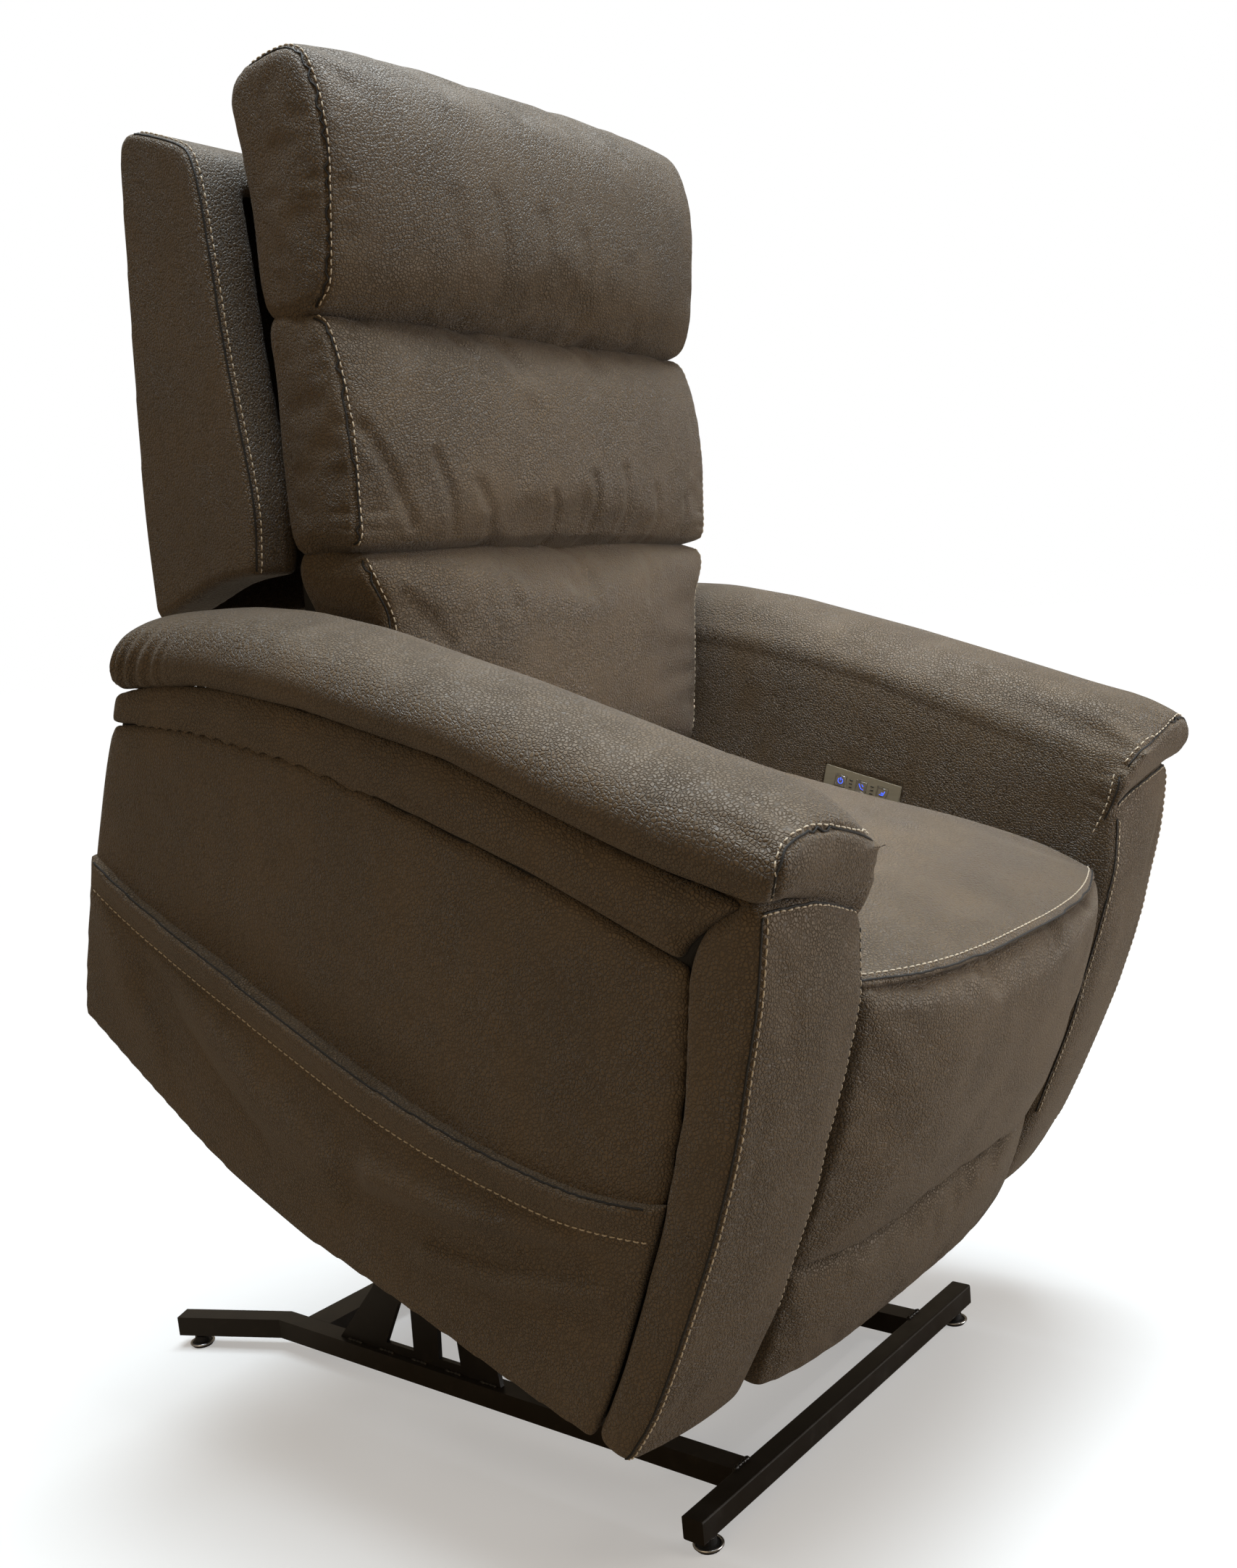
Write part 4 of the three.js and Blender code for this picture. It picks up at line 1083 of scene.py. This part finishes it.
def outer_back():
    spine = curve(SHELL_SPINE, 120)
    wing = np.vstack([curve(SHELL_FRONT, 50), spine[1:], curve(SHELL_ARCH, 30)[1:-1]])
    walls = [slab("wing", wing, sign * 305, 30, 9) for sign in (-1, 1)]
    ahead = np.gradient(spine, axis=0)
    ahead /= np.linalg.norm(ahead, axis=1)[:, None]
    inner = spine + np.stack([ahead[:, 1], -ahead[:, 0]], 1) * 15
    walls.append(slab("spine", np.vstack([spine, inner[::-1]]), 0, 322, 1))
    shell = merged("outer_back_cover", walls)
    remesh(shell, 0.005)
    subdivide(shell)
    edge = curve(SHELL_FRONT + SHELL_SPINE[1:4], 90)
    behind = curve(SHELL_SPINE[3:], 90)
    sides, rows = [[at_x(sign * x, line) * MM for line, x in ((edge, on_edge), (behind, on_rear))
                    for sign in (-1, 1)] for on_edge, on_rear in ((333, 327), (326, 320))]
    for side in sides:
        press(shell, side, 0.0035, 0.002)
    sew(shell, BACK, "back", sides, rows)
    settle(shell, BACK, "back", nodes=["outer_back"])


def slab(name, line, centre, half, edge):
    """A solid of one closed outline about some x, with its side edges rounded."""
    ends = [(half, edge * 0.6), (half - edge * 0.3, edge * 0.18), (half - edge, 0)]
    steps = [(centre - x, pull) for x, pull in ends] + [(centre + x, pull)
                                                        for x, pull in ends[::-1]]
    return extruded(name, line, steps)


def merged(name, solids):
    """One object holding all these solids, which may overlap until they are remeshed."""
    shapes = []
    for solid in solids:
        mesh = solid.data
        shapes.append(([v.co.copy() for v in mesh.vertices],
                       [tuple(face.vertices) for face in mesh.polygons]))
        bpy.data.objects.remove(solid)
    return join_shapes(name, shapes)


def rear_flap():
    """The lining cloth that closes the carriage behind the seat, hanging in slow folds."""
    middle, half_thickness = 837, 1.2
    w = np.linspace(101, 329, 40)
    rings = []
    for x in np.linspace(-261, 261, 90):
        v = middle + 1.5 * math.sin(x / 31) * smoothstep(330, 120, w) + 0.75 * math.sin(x / 13)
        front = np.column_stack([v - half_thickness, w])
        rear = np.column_stack([v + half_thickness, w])
        rings.append(at_x(x, np.vstack([front, rear[::-1]])))
    obj = loft("rear_flap_cloth", rings)
    settle(obj, CHAIR, "carriage", lining, nodes=["rear_flap"])


# ---------------------------------------------------------------- metal details

RAIL_INSIDE = 0.1754
RAIL_WIDTH = 0.0257
BEAD_LENGTH = 0.026
BEADS_ALONG_PLATE = 5


def strokes(name, centre, lines, radius):
    """Fine round strokes drawn on the control plate, around a centre in the chair's frame."""
    across, up = math.cos(PLATE_SLOPE), math.sin(PLATE_SLOPE)
    shapes = []
    for line in lines:
        path = [centre + Vector((0, (v * across + w * up) * MM, (w * across - v * up) * MM))
                for v, w in line]
        shapes.append(tube(path, [radius] * len(path), 6))
    return join_shapes(name, shapes)


def face_centre(node_name):
    """The middle of a control piece's inner face, in the chair's frame."""
    lo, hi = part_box(node_name)
    centre = CHAIR.inverted() @ ((lo + hi) / 2)
    centre.x = lo.x
    return centre


def ring_line(radius, start, end, steps=12):
    """Points along an arc about the centre, in degrees."""
    angles = np.radians(np.linspace(start, end, steps + 1))
    return [(radius * math.cos(a), radius * math.sin(a)) for a in angles]


def control_details():
    """Blue glyphs on the buttons, and three short dashes between them."""
    blue = glow_material("blue_glow", (0.02, 0.06, 0.9, 1.0), 1.6)
    glyphs = (
        [[(-3.5, 3.5), (-1.5, -2), (3.5, -2)], ring_line(1.0, 0, 300)],
        [[(3.5, 3.5), (0.5, -1.5), (-3.5, -3)], [(-3, 1), (-0.5, 3.5)]],
        [ring_line(3.4, 120, 420), [(0, 0.5), (0, 4.6)]],
    )
    square = [(-6.4, -6.4), (6.4, -6.4), (6.4, 6.4), (-6.4, 6.4), (-6.4, -6.4)]
    dashes = [[(-2.2, w), (2.2, w)] for w in (-4.5, 0, 4.5)]
    places = [face_centre(f"control_button_{number}") for number in (1, 2, 3)]
    for number, (place, lines) in enumerate(zip(places, glyphs), 1):
        for detail, drawn, radius, finish in (("glyph", lines, 0.00055, blue),
                                              ("rim", [square], 0.0003, zinc)):
            obj = strokes(f"control_{detail}_{number}", place, drawn, radius)
            settle(obj, CHAIR, f"button_{number}", finish)
    for first in (1, 2):
        middle = (places[first - 1] + places[first]) / 2
        middle.x = face_centre("control_plate").x
        marks = strokes(f"control_marks_{first}", middle, dashes, 0.0006)
        settle(marks, CHAIR, "carriage", dark_thread)


def glow_material(name, colour, strength):
    """A lit symbol with a paler core."""
    made, tree = material(name)
    core = ranged(tree, noise(tree, 900.0), 0.3, 0.7)
    tone = mixed(tree, core, colour, (0.12, 0.22, 1.0, 1.0))
    shader = node(tree, "ShaderNodeEmission", {"Color": tone, "Strength": strength})
    return finish_shader(made, tree, shader)


def glide_discs():
    """The bright threaded discs on the four glides."""
    for end in ("front", "rear"):
        for side in ("left", "right"):
            lo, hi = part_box(f"{end}_glide_{side}")
            middle = (lo + hi) / 2
            radius = (hi.x - lo.x) / 2
            shapes = []
            for z, size, thick in ((0.0045, radius + 0.0006, 0.0016),
                                   (0.0125, radius * 0.55, 0.0010)):
                path = [Vector((middle.x + size * math.cos(a), middle.y + size * math.sin(a), z))
                        for a in np.linspace(0, 2 * math.pi, 33)]
                shapes.append(tube(path, [thick] * 33, 8))
            disc = join_shapes(f"glide_disc_{end}_{side}", shapes)
            settle(disc, Matrix.Identity(4), "base", zinc)


def bead(a, b, radius=0.0028):
    """One weld bead from a to b, with its ripples."""
    a, b = Vector(a), Vector(b)
    count = max(5, int((b - a).length / 0.0018))
    path = [a.lerp(b, k / (count - 1)) for k in range(count)]
    radii = [radius * (0.8 + 0.25 * math.sin(k * 1.9) + 0.15 * math.sin(k * 0.7))
             for k in range(count)]
    return tube(path, radii, 8)


def weld_beads():
    """Beads where the rails meet the floor bar, and along the feet of the uprights."""
    bar_lo, bar_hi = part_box("front_floor_bar")
    top = bar_hi.z
    shapes = []
    for side, sign in (("left", 1), ("right", -1)):
        inner, outer = sign * RAIL_INSIDE, sign * (RAIL_INSIDE + RAIL_WIDTH)
        shapes.append(bead((inner, bar_hi.y, top), (outer, bar_hi.y, top)))
        for x in (inner, outer):
            shapes.append(bead((x, bar_hi.y, bar_lo.z), (x, bar_hi.y, top)))
        plate_lo, plate_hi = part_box("upright_plate_" + side)
        pitch = (plate_hi.y - plate_lo.y - 0.012) / 4.6
        for k in range(BEADS_ALONG_PLATE):
            y = plate_lo.y + 0.006 + k * pitch
            for x in (plate_hi.x, plate_lo.x):
                shapes.append(bead((x, y, top), (x, y + BEAD_LENGTH, top)))
    beads = join_shapes("weld_beads", shapes)
    settle(beads, Matrix.Identity(4), "base", black_paint)


# ---------------------------------------------------------------- stage

def camera_rays(tree):
    """The socket that is 1 for what the camera sees directly and 0 for what lights the scene."""
    return node(tree, "ShaderNodeLightPath").outputs["Is Camera Ray"]


def studio():
    """A pale floor that fades to white, soft lamps and a bright surround."""
    floor = mesh_object("floor", [(-60, -60, 0), (60, -60, 0), (60, 60, 0), (-60, 60, 0)],
                        [(0, 1, 2, 3)])
    floor_finish, tree = material("floor_finish")
    tone = ranged(tree, noise(tree, 1.5, 2.0), 0.3, 0.7)
    pale = mixed(tree, tone, (0.90, 0.90, 0.90, 1), (0.93, 0.93, 0.93, 1))
    seen = camera_rays(tree)
    base = mixed(tree, seen, (0.26, 0.21, 0.16, 1.0), pale)
    away = node(tree, "ShaderNodeVectorMath", {0: object_space(tree)}, operation="LENGTH")
    far = ranged(tree, away.outputs["Value"], 0.9, 2.6, 0.35, 1.0)
    glow = mathed(tree, "MULTIPLY", seen, far)
    base = mixed(tree, glow, base, (0.0, 0.0, 0.0, 1.0))
    shader = node(tree, "ShaderNodeBsdfPrincipled",
                  {"Base Color": base, "Roughness": 0.9, "Emission Color": (1, 1, 1, 1),
                   "Specular IOR Level": 0.1, "Emission Strength": glow})
    floor.data.materials.append(finish_shader(floor_finish, tree, shader))
    lamp("overhead", (0.3, -0.4, 4.6), (0, 0, 0.6), 2.8, 375, (0.83, 0.93, 1.0))
    lamp("front_fill", (1.6, -3.2, 0.6), (0, 0, 0.5), 1.6, 78)
    lamp("seat_light", (-0.5, -2.4, 2.6), (0.14, 0.0, 0.60), 0.4, 1.5, spread=20)
    lamp("side_fill", (-3.0, -0.5, 1.3), (0, 0, 0.6), 1.8, 15, (1.0, 0.74, 0.44))
    surround()
    bpy.context.scene.view_settings.view_transform = "Standard"


def surround():
    """White to the camera, and a dim warm light to the chair."""
    dim = 0.24
    world = bpy.data.worlds.new("surround")
    bpy.context.scene.world = world
    world.use_nodes = True
    tree = world.node_tree
    tree.nodes.clear()
    seen = camera_rays(tree)
    colour = mixed(tree, seen, (1.0, 0.81, 0.58, 1.0), (1.0, 1.0, 1.0, 1.0))
    strength = mathed(tree, "ADD", mathed(tree, "MULTIPLY", seen, 1 - dim), dim)
    sky = node(tree, "ShaderNodeBackground", {"Color": colour, "Strength": strength})
    node(tree, "ShaderNodeOutputWorld", {"Surface": sky.outputs[0]})


def lamp(name, place, target, size, power, colour=(1.0, 0.97, 0.94), spread=180):
    """A square soft light aimed at a point, its beam narrowed to `spread` degrees."""
    data = bpy.data.lights.new(name, "AREA")
    data.size = size
    data.spread = math.radians(spread)
    data.energy = power
    data.color = colour
    obj = scene_object(name, data)
    obj.location = place
    aim = Vector(target) - Vector(place)
    obj.rotation_mode = "QUATERNION"
    obj.rotation_quaternion = aim.to_track_quat("-Z", "Y")


def camera():
    """The camera at the viewing angle of the reference view, turned a little about its axis."""
    azimuth, elevation, roll = [math.radians(a) for a in (-52.46, 9.77, -4.91)]
    data = bpy.data.cameras.new("camera")
    data.sensor_width = 36
    data.lens = 34.84
    data.shift_x = -0.0382
    data.shift_y = 0.0591
    data.clip_start = 0.05
    obj = scene_object("camera", data)
    back = Vector((math.sin(azimuth) * math.cos(elevation),
                   -math.cos(azimuth) * math.cos(elevation), math.sin(elevation)))
    right = (-back).cross(Vector((0, 0, 1))).normalized()
    up = back.cross(right)
    level = Matrix((right, up, back)).transposed()
    turn = Matrix.Rotation(-roll, 3, "Z")
    obj.matrix_world = (Matrix.Translation((-1.34597, -1.16579, 0.91561))
                        @ (level @ turn.inverted()).to_4x4())
    bpy.context.scene.camera = obj


paint_frame()
head_bolster()
middle_bolster()
lower_bolster()
outer_back()
seat_cushion()
footrest_pads()
arm_pads()
front_pads()
side_panels()
side_pockets()
arm_backs()
rear_flap()
control_details()
glide_discs()
weld_beads()
studio()
camera()
